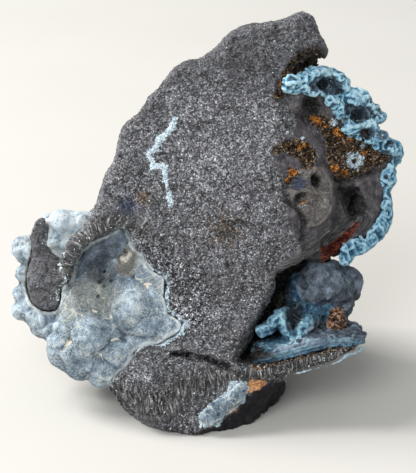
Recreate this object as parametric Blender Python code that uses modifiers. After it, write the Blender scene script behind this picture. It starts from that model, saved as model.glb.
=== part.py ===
"""A cabinet specimen of shattuckite: dark granular rock, with blue shattuckite crusts grown in its hollows.

The pieces are laid out in the face frame: X to the right, Y up the broken front face, Z out of that face.
Its numbers are millimetres. The face leans back by LEAN, and the specimen stands on its foot at z = 0.
A place is given as it looks from EYE, so a deeper point is moved along its line of sight.
"""

import math
import random

import bmesh
import bpy
from mathutils import Matrix, Vector
from mathutils.bvhtree import BVHTree

MM = 0.001
LEAN = math.radians(22)
EYE = Vector((0, 40, 450))
# The middle of the resting flat, measured from the front toe, is the origin of the part.
BASE_MIDDLE = Vector((-1.0, 22.0, 0.0))

GAP = 0.45
ROCK_VOXEL = 0.9
CRUST_VOXEL = 0.5
FINAL_VOXELS = (0.4, 0.42, 0.38, 0.44, 0.36)

TURN = Matrix.Rotation(math.radians(90) - LEAN, 4, "X")
FACE_TO_PART = Matrix.Translation(-BASE_MIDDLE * MM) @ TURN @ Matrix.Scale(MM, 4)

# The broken front face, from the peak round the left edge, the claw, the toe, the ledge and the jaws.
PEAK_AND_LEFT_EDGE = [
    (21.0, 84.6), (19.5, 85.0), (16.2, 84.2), (13.0, 83.0), (8.4, 82.4), (6.6, 81.8), (3.4, 80.0),
    (1.8, 78.6), (-0.2, 76.2), (-1.4, 75.5), (-4.3, 75.3), (-6.2, 74.1), (-8.4, 71.8), (-9.6, 70.0),
    (-12.0, 68.0), (-13.6, 66.0), (-14.6, 64.2), (-16.4, 63.2), (-17.8, 61.4), (-18.2, 59.8),
    (-18.2, 56.8), (-19.2, 54.8), (-20.8, 52.0), (-21.6, 49.6), (-22.2, 47.2), (-23.4, 44.6),
]
CLAW = [
    (-24.5, 43.0), (-26.0, 41.3), (-27.3, 40.4), (-28.2, 39.0), (-28.8, 36.6), (-29.3, 34.0),
    (-29.6, 31.8), (-28.8, 30.4), (-27.2, 31.2), (-27.0, 33.2), (-26.4, 35.4), (-25.4, 37.4),
    (-23.0, 39.2), (-20.6, 40.4), (-18.2, 41.8), (-16.4, 42.4), (-15.4, 41.0),
]
LEFT_HOLLOW = [
    (-14.9, 39.0), (-14.2, 37.6), (-12.2, 37.5), (-12.4, 35.4), (-11.3, 33.4), (-9.3, 32.6), (-8.2, 32.2),
    (-8.8, 30.6), (-8.9, 27.6), (-8.4, 25.3), (-6.8, 23.6), (-4.3, 22.8), (-5.4, 21.4), (-7.9, 20.2),
    (-9.9, 18.7), (-12.7, 18.4), (-14.6, 17.2), (-15.9, 14.9), (-18.3, 13.0), (-20.2, 10.8),
]
TOE = [
    (-17.6, 8.6), (-15.0, 6.0), (-11.4, 3.4), (-9.4, 1.9), (-7.4, 1.4), (-4.6, 1.5), (-3.0, 0.8),
    (-0.4, 0.2), (1.0, 1.4), (-2.6, 4.6), (-1.4, 6.0), (3.4, 8.4), (5.0, 10.4), (7.0, 11.0), (12.5, 12.0),
    (15.5, 13.0),
]
LEDGE_EDGE = [
    (18.5, 13.8), (22.4, 14.9), (25.6, 15.6), (28.0, 17.2), (30.2, 17.8), (31.0, 18.7), (29.6, 18.5),
    (24.4, 17.8), (18.4, 16.3), (15.4, 15.5), (11.0, 14.8), (7.4, 14.0), (3.6, 14.1),
]
JAW = [
    (4.8, 15.2), (6.6, 17.0), (8.4, 18.0), (10.8, 19.8), (11.6, 21.4), (13.4, 23.8), (15.4, 25.2),
    (16.6, 26.8), (15.8, 29.0), (13.4, 30.8), (12.4, 32.2), (15.0, 33.2), (18.0, 34.8), (19.4, 35.6),
]
FLANK_EDGE = [
    (19.0, 37.4), (18.4, 39.6), (16.2, 44.4), (15.0, 50.4), (13.6, 55.4), (15.4, 61.6), (14.2, 66.4),
    (15.6, 70.4), (18.0, 74.6), (20.4, 76.8), (22.2, 75.8), (23.0, 76.2), (24.1, 75.4), (24.5, 76.6),
    (23.2, 79.4), (21.7, 82.2),
]
FACE_OUTLINE = PEAK_AND_LEFT_EDGE + CLAW + LEFT_HOLLOW + TOE + LEDGE_EDGE + JAW + FLANK_EDGE

# Broken lumps behind the face: hulls of (x, y, depth) corners.
UPPER_BULK = [
    (20.0, 83.0, -4), (9.0, 81.0, -4), (-3.0, 74.0, -4), (-12.0, 66.5, -4), (-17.0, 60.0, -4),
    (-20.0, 52.0, -4), (-23.0, 44.0, -4), (14.0, 40.0, -4), (17.0, 60.0, -5.5), (21.6, 76.4, -5),
    (16.5, 75.0, -15), (5.0, 73.0, -17), (-7.0, 65.0, -16), (-15.0, 55.0, -17), (-20.0, 46.0, -18),
    (8.0, 63.0, -25), (-5.0, 57.0, -27), (-12.0, 46.0, -30), (16.0, 50.0, -29), (20.0, 64.0, -22),
]
MIDDLE_BULK = [
    (-14.0, 42.0, -11), (-24.0, 43.0, -14), (-31.0, 40.0, -15), (-33.0, 30.0, -16), (-30.0, 24.0, -16),
    (-22.0, 17.0, -14), (-10.0, 18.0, -9), (-6.0, 30.0, -9), (12.0, 20.0, -14), (20.0, 34.0, -15),
    (-25.0, 40.0, -29), (-27.0, 28.0, -30), (-17.0, 17.0, -32), (-2.0, 16.5, -37), (11.0, 19.0, -38),
    (21.0, 28.0, -31), (24.0, 40.0, -29), (18.0, 56.0, -28), (2.0, 60.0, -27), (-14.0, 52.0, -27),
    (-10.0, 36.0, -40), (5.0, 34.0, -43), (12.0, 42.0, -38),
]
FLANK = [
    (19.0, 37.0, -2), (16.0, 44.0, -1), (15.0, 50.0, -1), (13.5, 55.0, -1), (15.0, 61.0, -1),
    (14.0, 66.0, -1), (16.5, 69.6, -2), (20.5, 69.8, -4.5), (24.6, 68.2, -9), (28.6, 65.2, -13),
    (32.2, 61.0, -16), (35.2, 57.0, -18.5), (35.4, 50.5, -18.5), (35.0, 44.4, -17), (32.6, 40.8, -15),
    (28.2, 36.9, -12), (23.0, 35.0, -8), (27.0, 60.0, -26), (30.5, 50.0, -28), (27.0, 40.0, -28),
    (20.0, 33.0, -26),
]
DARK_PATCH = [
    (-32.4, 44.6), (-34.8, 43.0), (-35.8, 39.2), (-35.3, 35.3), (-36.4, 31.4), (-36.2, 28.8),
    (-34.8, 26.2), (-32.0, 25.0), (-29.9, 25.6), (-28.5, 28.0), (-29.7, 31.8), (-29.4, 34.0),
    (-29.8, 36.4), (-31.6, 38.2), (-31.9, 42.4),
]
LEDGE = [
    (9.0, 14.2, -3), (18.4, 16.2, -1.0), (24.4, 17.7, -1.4), (30.0, 18.4, -3.4), (31.0, 18.9, -7),
    (29.0, 20.9, -15), (26.0, 21.6, -20), (12.0, 18.0, -20), (17.0, 13.6, -1.0), (22.4, 15.1, -1.4),
    (28.0, 17.2, -3.4), (30.2, 17.9, -6.5), (26.0, 18.6, -19), (12.0, 14.0, -22),
]
# The foot meets the surface along the lower edge of the outline that the eye sees.
FOOT_SEEN_EDGE = [
    (-20.0, 10.8), (-18.0, 7.6), (-15.0, 4.2), (-11.4, 3.0), (-9.4, 1.6), (-4.6, 1.4), (-0.4, 0.0),
    (2.0, 0.6), (6.0, 1.6), (8.2, 2.8), (10.8, 5.0), (13.8, 7.6), (15.0, 10.2),
]
FOOT_BACK_EDGE = [
    (15.5, 30.0), (13.0, 38.0), (4.0, 43.0), (-6.0, 43.0), (-14.0, 38.0), (-18.5, 29.0),
]
FOOT_TOP = [
    (-19.0, 12.0, -5), (-8.0, 14.0, -2), (5.0, 12.0, -1.5), (12.5, 12.2, -2.5), (16.5, 13.6, -5),
    (14.0, 17.0, -22), (-20.0, 18.0, -20), (-15.0, 20.0, -32), (-10.0, 20.0, -38), (10.0, 20.0, -38),
]

# Lumps of the rock's right side: x, y, depth and radius.
ROCK_LUMPS = [
    (19.8, 51.6, -4.6, 4.0), (17.8, 45.8, -3.6, 3.6), (23.6, 47.4, -7.6, 3.4), (17.4, 67.4, -3.2, 1.8),
    (24.2, 65.2, -8.4, 1.7), (35.4, 56.2, -18.4, 2.0), (21.0, 57.6, -6.6, 2.8), (27.0, 57.4, -12.0, 2.6),
    (22.6, 40.4, -7.6, 3.0), (26.0, 61.4, -10.6, 2.0),
]
# Hollows cut in the rock: middle, then half sizes along x, y and depth.
ROCK_BOWLS = [
    ((29.0, 46.5, -7.0), (5.0, 8.5, 7.5)),
    ((30.8, 45.8, -13.0), (1.2, 2.2, 7.0)),
    ((22.2, 50.8, -2.5), (1.2, 1.7, 4.5)),
    ((19.2, 47.2, -1.0), (1.0, 1.8, 3.5)),
    ((5.4, 40.4, 0.8), (2.6, 2.0, 1.9)),
    ((21.0, 73.6, -1.0), (2.6, 2.4, 3.4)),
    ((19.6, 64.6, -3.0), (1.9, 2.3, 4.5)),
    ((27.0, 38.5, -7.0), (5.0, 3.0, 7.0)),
]
RIGHT_HOLLOW = [
    (3.8, 14.4, 2), (9.5, 15.2, 2), (19.0, 17.4, 2), (31.0, 20.6, 2), (40.0, 24.0, 2), (40.0, 33.0, 2),
    (26.0, 33.8, 2), (18.0, 34.0, 2), (13.0, 31.6, 2), (10.0, 20.0, 2), (11.0, 17.0, -17),
    (30.0, 24.0, -24), (44.0, 26.0, -24), (42.0, 36.0, -24), (27.0, 36.0, -21), (16.0, 30.0, -17),
]
CRACK = [
    (-6.6, 16.4), (-4.8, 16.9), (-2.6, 16.4), (-0.2, 16.3), (1.4, 15.2), (4.2, 14.6), (4.2, 13.8),
    (1.0, 14.4), (-0.6, 15.3), (-3.0, 15.5), (-5.0, 15.9),
]

# Rounded growths of the left crust: x, y, depth and radius.
LEFT_LUMPS = [
    (-15.2, 26.4, -5.4, 4.9), (-23.0, 20.0, -6.2, 4.4), (-18.0, 16.4, -5.6, 3.5),
    (-11.6, 22.4, -4.8, 3.6), (-10.8, 33.2, -4.6, 3.2), (-28.0, 17.6, -9.4, 4.2),
    (-25.4, 14.6, -9.6, 3.2), (-32.4, 23.0, -12.0, 3.2), (-21.4, 12.6, -8.4, 2.5),
    (-21.6, 26.6, -9.0, 4.2), (-26.4, 26.6, -9.6, 3.6), (-26.4, 22.4, -8.6, 4.0),
    (-19.4, 22.6, -6.4, 3.4), (-37.2, 38.0, -12.5, 2.0), (-37.0, 32.6, -12.5, 1.6),
    (-37.2, 28.6, -12.5, 1.8), (-37.4, 25.2, -12.5, 1.8), (-29.4, 43.0, -9.4, 2.4),
    (-26.2, 42.6, -9.4, 2.2), (-31.2, 39.8, -9.2, 1.7), (-27.8, 39.0, -10.0, 2.2),
    (-8.0, 22.8, -4.6, 2.0), (-14.6, 19.8, -5.2, 2.8), (-34.2, 41.6, -12.0, 2.0),
    (-29.0, 29.4, -9.4, 1.8), (-9.4, 27.4, -4.4, 2.4), (-34.8, 37.0, -17.0, 3.4),
    (-34.0, 29.4, -18.0, 3.8), (-29.0, 41.0, -17.0, 3.6), (-30.0, 22.6, -17.5, 3.8),
    (-24.6, 16.4, -17.0, 3.6), (-31.6, 34.6, -20.0, 3.4),
]
LEFT_LOBE = [
    (-38.0, 38.2), (-37.2, 39.4), (-35.6, 40.0), (-34.6, 42.2), (-32.2, 44.4), (-29.2, 45.2),
    (-27.0, 44.6), (-23.4, 44.6), (-18.0, 46.0), (-13.0, 42.0), (-8.0, 36.0), (-5.0, 28.0), (-5.0, 22.0),
    (-10.0, 17.0), (-16.0, 13.0), (-20.2, 11.2), (-22.4, 12.2), (-26.4, 13.4), (-28.8, 15.4),
    (-29.8, 17.4), (-30.4, 19.6), (-33.6, 21.9), (-36.0, 23.2), (-38.4, 24.6), (-37.2, 28.0),
    (-36.8, 31.0), (-36.6, 34.6),
]
LEFT_LOBE_MIDDLE = Vector((-20.0, 29.0))
# Front, back and share of the full outline of the lobe's layers.
LEFT_LOBE_LAYERS = [
    (-9.6, -12.0, 0.94), (-11.6, -16.0, 1.0), (-15.6, -19.0, 0.92), (-18.6, -22.0, 0.78),
]
# The growth that fills the hollow under the claw, up to the rock's broken edge.
LEFT_FILL = [
    (-27.6, 31.0), (-27.0, 34.0), (-26.6, 36.0), (-25.0, 38.0), (-22.4, 39.8), (-19.6, 41.2),
    (-17.0, 42.6), (-15.0, 43.0), (-12.0, 40.0), (-8.0, 36.0), (-4.0, 28.0), (-2.0, 22.0), (-8.0, 18.0),
    (-14.0, 14.0), (-19.4, 11.4), (-22.6, 12.2), (-25.6, 15.4), (-27.0, 20.0), (-26.0, 24.0),
]
LEFT_FILL_SLOPE = 0.3
LEFT_BOWLS = [
    ((-21.4, 33.2, -6.0), (3.4, 2.7, 6.0)),
    ((-17.0, 35.4, -3.2), (2.8, 3.0, 4.6)),
    ((-25.0, 33.4, -4.0), (1.8, 2.0, 3.6)),
]
# The recess under the claw's arch: shallow at the arch, deep where the domes rise below it.
LEFT_RECESS = [
    (-27.0, 36.8, 2), (-24.8, 38.6, 2), (-19.6, 41.4, 2), (-16.0, 43.2, 2), (-14.8, 40.4, 2),
    (-16.0, 38.2, 2), (-20.0, 34.8, 2), (-24.6, 33.2, 2), (-27.2, 34.0, 2), (-26.6, 36.2, -3.0),
    (-24.6, 37.7, -2.4), (-19.6, 40.6, -2.0), (-16.2, 42.2, -2.0), (-15.6, 40.2, -4.0),
    (-16.8, 38.4, -7.5), (-20.0, 35.6, -9.5), (-24.2, 34.4, -8.5), (-26.6, 34.4, -6.0),
]

# The bright upper crust: the outline that the eye sees, and the slope of the rock's side that it grows on.
UPPER_CRUST = [
    (15.2, 70.8), (16.0, 72.0), (17.4, 70.4), (19.0, 71.4), (20.4, 72.8), (21.8, 73.2), (23.4, 73.4),
    (24.8, 73.2), (26.0, 72.2), (27.8, 71.0), (27.2, 69.6), (28.6, 69.0), (31.2, 69.0), (31.8, 68.0),
    (32.6, 66.8), (33.8, 65.8), (35.2, 64.0), (34.6, 63.2), (33.2, 63.8), (32.8, 63.0), (33.6, 62.0),
    (33.8, 61.0), (35.2, 60.6), (36.0, 59.2), (38.4, 58.4), (38.2, 57.0), (38.6, 56.2), (37.8, 55.0),
    (36.8, 54.6), (36.8, 53.4), (37.2, 51.2), (35.8, 49.6), (36.2, 47.6), (36.2, 43.0), (35.2, 41.0),
    (33.6, 39.4), (31.4, 37.6), (28.6, 36.6), (28.2, 35.0), (27.0, 34.6), (26.8, 37.0), (27.6, 38.4),
    (30.0, 40.0), (31.6, 41.4), (33.4, 43.8), (33.9, 47.4), (33.2, 50.0), (34.0, 52.0), (34.2, 54.6),
    (34.2, 57.4), (32.6, 58.8), (29.4, 59.8), (27.2, 60.8), (26.4, 62.2), (28.0, 63.2), (27.0, 64.6),
    (25.0, 64.8), (24.0, 66.6), (24.6, 67.8), (22.8, 68.2), (20.4, 68.6), (19.6, 69.6), (17.6, 69.0),
    (15.2, 69.4),
]
# The rock's right side falls back from the face along x: its depth at the start, and its slope.
SIDE_START = 15.0
SIDE_DEPTH = -1.0
SIDE_SLOPE = -0.87
UPPER_FRONT = 1.7
UPPER_BACK = -3.0
# Its pockets: x and y, then half sizes.
UPPER_POCKETS = [
    ((22.8, 70.6), (2.0, 1.35, 3.0)),
    ((30.2, 64.4), (2.2, 1.15, 2.8)),
    ((31.8, 61.0), (1.6, 0.95, 2.6)),
    ((27.4, 66.2), (0.8, 0.8, 1.6)),
    ((16.4, 70.3), (0.9, 0.6, 1.4)),
]
# Its lumps: x, y, lift from the crust's front, and radius.
UPPER_LUMPS = [
    (16.6, 71.0, 1.0, 1.2), (18.0, 70.8, 0.9, 1.2), (19.4, 71.6, 1.0, 1.3), (20.8, 72.2, 1.2, 1.4),
    (22.0, 72.4, 1.0, 1.4), (23.2, 72.4, 0.6, 1.2), (19.6, 70.0, 0.9, 1.1), (21.2, 69.6, 0.9, 1.2),
    (24.6, 66.8, 0.6, 1.4), (26.0, 65.4, 0.8, 1.3), (28.6, 67.6, 0.6, 1.4), (30.4, 67.4, 0.8, 1.5),
    (32.0, 66.0, 0.6, 1.4), (29.0, 61.6, 0.6, 1.5), (27.6, 61.8, 0.6, 1.2), (34.4, 60.0, 0.6, 1.4),
    (36.0, 57.4, 0.4, 1.5), (37.2, 57.0, -0.6, 1.2), (25.6, 71.6, 0.2, 1.4), (26.6, 70.4, 0.2, 1.3),
    (18.6, 70.6, 0.3, 0.9), (35.8, 51.4, 0.2, 1.0), (35.4, 46.4, 0.2, 1.0), (34.2, 41.4, 0.2, 1.0),
    (30.6, 38.2, 0.2, 0.9), (25.0, 63.4, 0.4, 1.0), (36.0, 54.6, 0.0, 1.2), (20.6, 72.0, 0.2, 0.9),
]
# Lumps in the right hollow, then the sheet that hangs there like a curtain, and the coat of the ledge.
HOLLOW_LUMPS = [
    (21.8, 32.4, -12.6, 3.0), (24.0, 30.8, -14.0, 3.2), (22.6, 29.6, -13.0, 2.6),
    (26.0, 29.4, -16.4, 3.0), (28.2, 31.4, -19.0, 2.4), (28.4, 29.4, -19.0, 2.0),
    (26.6, 32.6, -19.0, 2.4), (26.2, 26.4, -17.6, 2.8), (23.4, 27.2, -15.4, 2.6),
    (20.0, 27.4, -14.0, 2.6), (17.6, 28.6, -13.0, 2.4), (20.6, 24.4, -13.6, 2.4),
    (17.6, 24.8, -13.4, 2.6), (23.0, 24.0, -15.0, 2.6), (18.6, 30.4, -14.0, 2.6),
    (21.0, 21.8, -12.6, 2.2), (24.0, 34.4, -15.0, 2.0), (25.0, 22.6, -17.0, 2.6),
]
CURTAIN = [
    (9.8, 21.6), (10.8, 20.8), (12.4, 21.8), (13.6, 23.4), (14.6, 24.6), (15.0, 22.4), (16.2, 20.6),
    (17.6, 19.6), (18.4, 20.8), (18.6, 22.6), (19.8, 23.4), (20.4, 21.8),
]
CURTAIN_FRONT = -2.6
CURTAIN_STEPS = 11
CURTAIN_LEAN = Vector((0.16, 0.12))
LEDGE_COAT = [
    (9.0, 16.0, -2.0), (14.0, 17.4, -1.2), (20.4, 19.1, -0.8), (24.4, 19.4, -1.4), (28.6, 19.6, -3.2),
    (31.2, 19.8, -6.4), (31.9, 20.4, -8.6), (30.8, 21.9, -12.5), (29.4, 23.0, -15.5), (26.9, 23.6, -19.0),
    (17.0, 23.4, -18.0), (9.0, 19.0, -12.0), (9.0, 14.8, -3.0), (18.6, 16.3, -0.8), (24.6, 17.8, -1.2),
    (30.0, 18.5, -3.4), (31.2, 18.9, -7.0), (24.0, 19.0, -18.0),
]
LEDGE_RIM = [
    (16.8, 12.8, -0.8), (19.4, 13.4, -0.8), (21.7, 14.1, -1.0), (24.7, 14.8, -1.4), (26.4, 15.5, -2.0),
    (27.8, 16.5, -2.8), (29.8, 16.9, -4.4), (31.0, 17.9, -6.4),
]
BROWN_CRYSTAL = [
    (24.0, 21.0, -7.4), (27.0, 20.9, -7.6), (27.7, 22.6, -8.0), (27.4, 25.0, -8.6), (26.0, 25.9, -9.0),
    (24.6, 25.2, -9.0), (24.0, 22.8, -8.0), (25.6, 23.2, -6.8), (24.2, 21.6, -10.6), (27.4, 21.8, -11.0),
    (26.2, 25.2, -11.0),
]
FOOT_PATCH = [
    (6.6, 11.0), (5.0, 10.7), (3.4, 8.6), (1.2, 7.2), (-1.0, 5.6), (-1.6, 4.4), (-1.4, 3.0), (0.0, 2.2),
    (2.8, 3.0), (3.4, 4.7), (5.8, 6.8), (7.2, 7.1), (7.8, 9.0), (8.0, 10.4),
]
FOOT_RADIUS = 1.0
BACK_PATCH_MIDDLE = Vector((1.0, 46.0))
BACK_PATCH_HALF = Vector((15.0, 14.0))
BACK_LUMPS = 190
BACK_SEED = 4

# About how many triangles each piece is simplified to.
ROCK_FACES = 4300
LEFT_FACES = 1900
UPPER_FACES = 1500
HOLLOW_FACES = 1200
SMALL_FACES = 220
BACK_FACES = 700


def clear_scene():
    for obj in list(bpy.data.objects):
        bpy.data.objects.remove(obj, do_unlink=True)


def seen(x, y, depth):
    """The point at that depth on the eye's line through (x, y) of the face."""
    return EYE + (Vector((x, y, 0)) - EYE) * (EYE.z - depth) / EYE.z


def seen_on_floor(x, y):
    """Where the eye's line through (x, y) of the face meets the surface that the specimen stands on."""
    down = TURN.inverted() @ Vector((0, 0, 1))
    line = Vector((x, y, 0)) - EYE
    return EYE - line * EYE.dot(down) / line.dot(down)


def on_floor(x, back):
    return TURN.inverted() @ Vector((x, back, 0))


def link(name, mesh):
    obj = bpy.data.objects.new(name, mesh)
    bpy.context.scene.collection.objects.link(obj)
    return obj


def mesh_from(fill):
    """A mesh made by running fill on an empty bmesh."""
    bm = bmesh.new()
    fill(bm)
    mesh = bpy.data.meshes.new("shape")
    bm.to_mesh(mesh)
    bm.free()
    return mesh


def baked(obj):
    """The object's evaluated mesh, in the object's own place, with the object removed."""
    bpy.context.view_layer.update()
    graph = bpy.context.evaluated_depsgraph_get()
    mesh = bpy.data.meshes.new_from_object(obj.evaluated_get(graph))
    mesh.transform(obj.matrix_world)
    bpy.data.objects.remove(obj, do_unlink=True)
    return mesh


def welded(mesh):
    bm = bmesh.new()
    bm.from_mesh(mesh)
    bmesh.ops.remove_doubles(bm, verts=bm.verts, dist=1e-4)
    bmesh.ops.recalc_face_normals(bm, faces=bm.faces)
    bm.to_mesh(mesh)
    bm.free()
    return mesh


def slab(outline, front, back, slope=0.0, start=0.0):
    """A flat outline that the eye sees, with its front and back at those depths.

    With a slope, both depths change with the distance in x from start.
    """
    curve = bpy.data.curves.new("outline", "CURVE")
    curve.dimensions = "2D"
    curve.fill_mode = "BOTH"
    curve.extrude = (front - back) / 2
    spline = curve.splines.new("POLY")
    spline.points.add(len(outline) - 1)
    spline.use_cyclic_u = True
    for point, place in zip(spline.points, outline):
        point.co = (*place, 0, 1)
    obj = bpy.data.objects.new("outline", curve)
    bpy.context.scene.collection.objects.link(obj)
    obj.location.z = (front + back) / 2
    mesh = welded(baked(obj))
    for vertex in mesh.vertices:
        x, y, depth = vertex.co
        vertex.co = seen(x, y, depth + slope * (x - start))
    return mesh


def hull(points):
    def fill(bm):
        for point in points:
            bm.verts.new(point)
        found = bmesh.ops.convex_hull(bm, input=bm.verts)
        bmesh.ops.delete(bm, geom=list(set(found["geom_interior"])), context="VERTS")

    return welded(mesh_from(fill))


def chunk(corners):
    return hull([seen(*corner) for corner in corners])


def ball(middle, half_sizes):
    """An ellipsoid with its middle at a point of the face frame."""
    place = Matrix.Translation(middle) @ Matrix.Diagonal((*half_sizes, 1))
    return mesh_from(lambda bm: bmesh.ops.create_icosphere(bm, subdivisions=3, radius=1, matrix=place))


def rib(points, radius):
    """A rounded rim that follows points of the face frame."""
    curve = bpy.data.curves.new("rib", "CURVE")
    curve.dimensions = "3D"
    curve.bevel_depth = radius
    curve.bevel_resolution = 2
    curve.use_fill_caps = True
    spline = curve.splines.new("POLY")
    spline.points.add(len(points) - 1)
    for point, place in zip(spline.points, points):
        point.co = (*place, 1)
    obj = bpy.data.objects.new("rib", curve)
    bpy.context.scene.collection.objects.link(obj)
    return welded(baked(obj))


def joined(meshes):
    bm = bmesh.new()
    for mesh in meshes:
        bm.from_mesh(mesh)
        bpy.data.meshes.remove(mesh)
    mesh = bpy.data.meshes.new("joined")
    bm.to_mesh(mesh)
    bm.free()
    return mesh


def largest_body(mesh):
    """The mesh without the crumbs that a cut leaves: only its largest closed body stays."""
    bm = bmesh.new()
    bm.from_mesh(mesh)
    left = set(bm.faces)
    bodies = []
    while left:
        body, edge_of_search = set(), [left.pop()]
        while edge_of_search:
            face = edge_of_search.pop()
            body.add(face)
            for edge in face.edges:
                # Two bodies that only touch along an edge share four faces there.
                fresh = [other for other in edge.link_faces if other in left and len(edge.link_faces) == 2]
                left.difference_update(fresh)
                edge_of_search.extend(fresh)
        bodies.append(body)
    bodies.sort(key=lambda body: sum(face.calc_area() for face in body))
    crumbs = [face for body in bodies[:-1] for face in body]
    bmesh.ops.delete(bm, geom=crumbs, context="FACES")
    bmesh.ops.delete(bm, geom=[v for v in bm.verts if not v.link_faces], context="VERTS")
    bm.to_mesh(mesh)
    bm.free()
    return mesh


def is_closed(mesh):
    """Whether every edge joins two faces and no two parts of the surface only touch."""
    bm = bmesh.new()
    bm.from_mesh(mesh)
    closed = all(edge.is_manifold for edge in bm.edges) and all(vertex.is_manifold for vertex in bm.verts)
    bm.free()
    return closed


def cut(mesh, cutter):
    """The mesh after an exact Boolean difference with the cutter mesh, which is used up."""
    obj, tool = link("cut", mesh), link("cutter", cutter)
    modifier = obj.modifiers.new("cut", "BOOLEAN")
    modifier.operation = "DIFFERENCE"
    modifier.object = tool
    result = baked(obj)
    bpy.data.objects.remove(tool, do_unlink=True)
    return result


def grown_together(meshes, voxel, smooth_rounds, bumps, faces):
    """One closed body of the overlapping shapes, with its joins grown over and its surface roughened.

    bumps are pairs: the size of a noise's bumps, and how far they reach. The body is simplified to about
    that many faces.
    """
    obj = link("grown", joined(meshes))
    remesh = obj.modifiers.new("remesh", "REMESH")
    remesh.mode = "VOXEL"
    remesh.voxel_size = voxel
    smooth = obj.modifiers.new("smooth", "SMOOTH")
    smooth.iterations = smooth_rounds
    smooth.factor = 0.5
    for size, reach in bumps:
        texture = bpy.data.textures.new("bumps", "CLOUDS")
        texture.noise_scale = size
        texture.noise_depth = 1
        displace = obj.modifiers.new("bumps", "DISPLACE")
        displace.texture = texture
        displace.strength = reach
        displace.mid_level = 0.5
    dense = largest_body(baked(obj))
    obj = link("simple", dense)
    simplify = obj.modifiers.new("simplify", "DECIMATE")
    simplify.ratio = min(1.0, faces / (2 * len(dense.polygons)))
    obj.modifiers.new("triangles", "TRIANGULATE")
    return baked(obj)


def grown_out(mesh, distance, faces=9000):
    """A copy of the mesh, pushed out along its normals, with the folds that this makes taken out."""
    copy = mesh.copy()
    normals = [Vector(vertex.normal) for vertex in copy.vertices]
    for vertex, normal in zip(copy.vertices, normals):
        vertex.co += normal * distance
    return grown_together([copy], 0.4, 0, [], faces)


def floor_block():
    """All that would lie under the surface that the specimen stands on, in the face frame."""
    side, depth = 300, 60
    sunk = Matrix.Translation((0, 0, -depth / 2))
    place = TURN.inverted() @ sunk @ Matrix.Diagonal((side, side, depth, 1))
    return mesh_from(lambda bm: bmesh.ops.create_cube(bm, size=1, matrix=place))


class Rock:
    """The dark rock's surface, for placing what grows on it."""

    def __init__(self, mesh):
        bm = bmesh.new()
        bm.from_mesh(mesh)
        self.tree = BVHTree.FromBMesh(bm)
        bm.free()

    def front(self, x, y, lift=0.0):
        """Where the eye's line through (x, y) meets the rock, moved towards the eye by lift."""
        line = (Vector((x, y, 0)) - EYE).normalized()
        hit = self.tree.ray_cast(EYE, line)[0]
        if hit is None:
            return None
        return hit - line * lift

    def near_front(self, x, y, lift=0.0):
        """As front, but beside the rock's outline it takes the depth of the rock towards the middle."""
        middle = Vector((14, 50))
        place = Vector((x, y))
        for share in range(21):
            point = place.lerp(middle, share * 0.02)
            hit = self.front(point.x, point.y, lift)
            if hit is not None:
                return seen(x, y, hit.z)
        return seen(x, y, -18)

    def back(self, x, y):
        """Where a line from behind, square to the face, meets the rock."""
        return self.tree.ray_cast(Vector((x, y, -200)), Vector((0, 0, 1)))[0]


def make_rock():
    foot = [seen_on_floor(*place) for place in FOOT_SEEN_EDGE]
    foot += [on_floor(*place) for place in FOOT_BACK_EDGE]
    sunk = [point - TURN.inverted() @ Vector((0, 0, 2)) for point in foot]
    solids = [slab(FACE_OUTLINE, 0, -8)]
    solids += [chunk(corners) for corners in (UPPER_BULK, MIDDLE_BULK, FLANK)]
    solids.append(slab(DARK_PATCH, -7.0, -18.0))
    solids += [ball(seen(x, y, depth), (r, r, r)) for x, y, depth, r in ROCK_LUMPS]
    solids.append(hull(sunk + foot + [seen(*corner) for corner in FOOT_TOP]))
    body = grown_together(solids, ROCK_VOXEL, 2, [(9.0, 1.6), (3.0, 0.9)], 60000)
    body = cut(body, chunk(RIGHT_HOLLOW))
    for middle, half_sizes in ROCK_BOWLS:
        body = cut(body, ball(seen(*middle), half_sizes))
    body = grown_together([body, chunk(LEDGE)], ROCK_VOXEL * 0.8, 2, [(1.6, 0.3)], ROCK_FACES)
    body = cut(body, slab(CRACK, 2, -3))
    return largest_body(cut(body, floor_block()))


def make_left_crust():
    solids = [slab(LEFT_FILL, -1.2, -12.0, LEFT_FILL_SLOPE, -8.0)]
    for front, back, share in LEFT_LOBE_LAYERS:
        outline = [LEFT_LOBE_MIDDLE.lerp(Vector(point), share) for point in LEFT_LOBE]
        solids.append(slab(outline, front, back))
    solids += [ball(seen(x, y, depth), (r, r, r)) for x, y, depth, r in LEFT_LUMPS]
    body = grown_together(solids, CRUST_VOXEL, 3, [(2.5, 0.6)], 20000)
    for middle, half_sizes in LEFT_BOWLS:
        body = cut(body, ball(seen(*middle), half_sizes))
    return cut(body, chunk(LEFT_RECESS))


def coat(rock, outline, spacing, radius, lift):
    """Small domes that cover the rock inside an outline that the eye sees."""
    low_x, high_x = min(x for x, _ in outline), max(x for x, _ in outline)
    low_y, high_y = min(y for _, y in outline), max(y for _, y in outline)
    domes = []
    for row in range(int((high_y - low_y) / spacing) + 1):
        for column in range(int((high_x - low_x) / spacing) + 1):
            x, y = low_x + column * spacing, low_y + row * spacing
            if room_inside(outline, x, y) > 0.6 * radius:
                domes.append(ball(rock.near_front(x, y, lift), (radius, radius, radius)))
    return domes


def room_inside(outline, x, y):
    """How far the point is from the outline's edge, or 0 outside the outline."""
    place = Vector((x, y))
    inside, nearest = False, math.inf
    for first, second in zip(outline, outline[1:] + outline[:1]):
        if (first[1] > y) != (second[1] > y):
            crossing = first[0] + (y - first[1]) / (second[1] - first[1]) * (second[0] - first[0])
            inside ^= x < crossing
        edge = Vector(second) - Vector(first)
        share = max(0.0, min(1.0, (place - Vector(first)).dot(edge) / edge.length_squared))
        nearest = min(nearest, (place - Vector(first) - edge * share).length)
    return nearest if inside else 0.0


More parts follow.
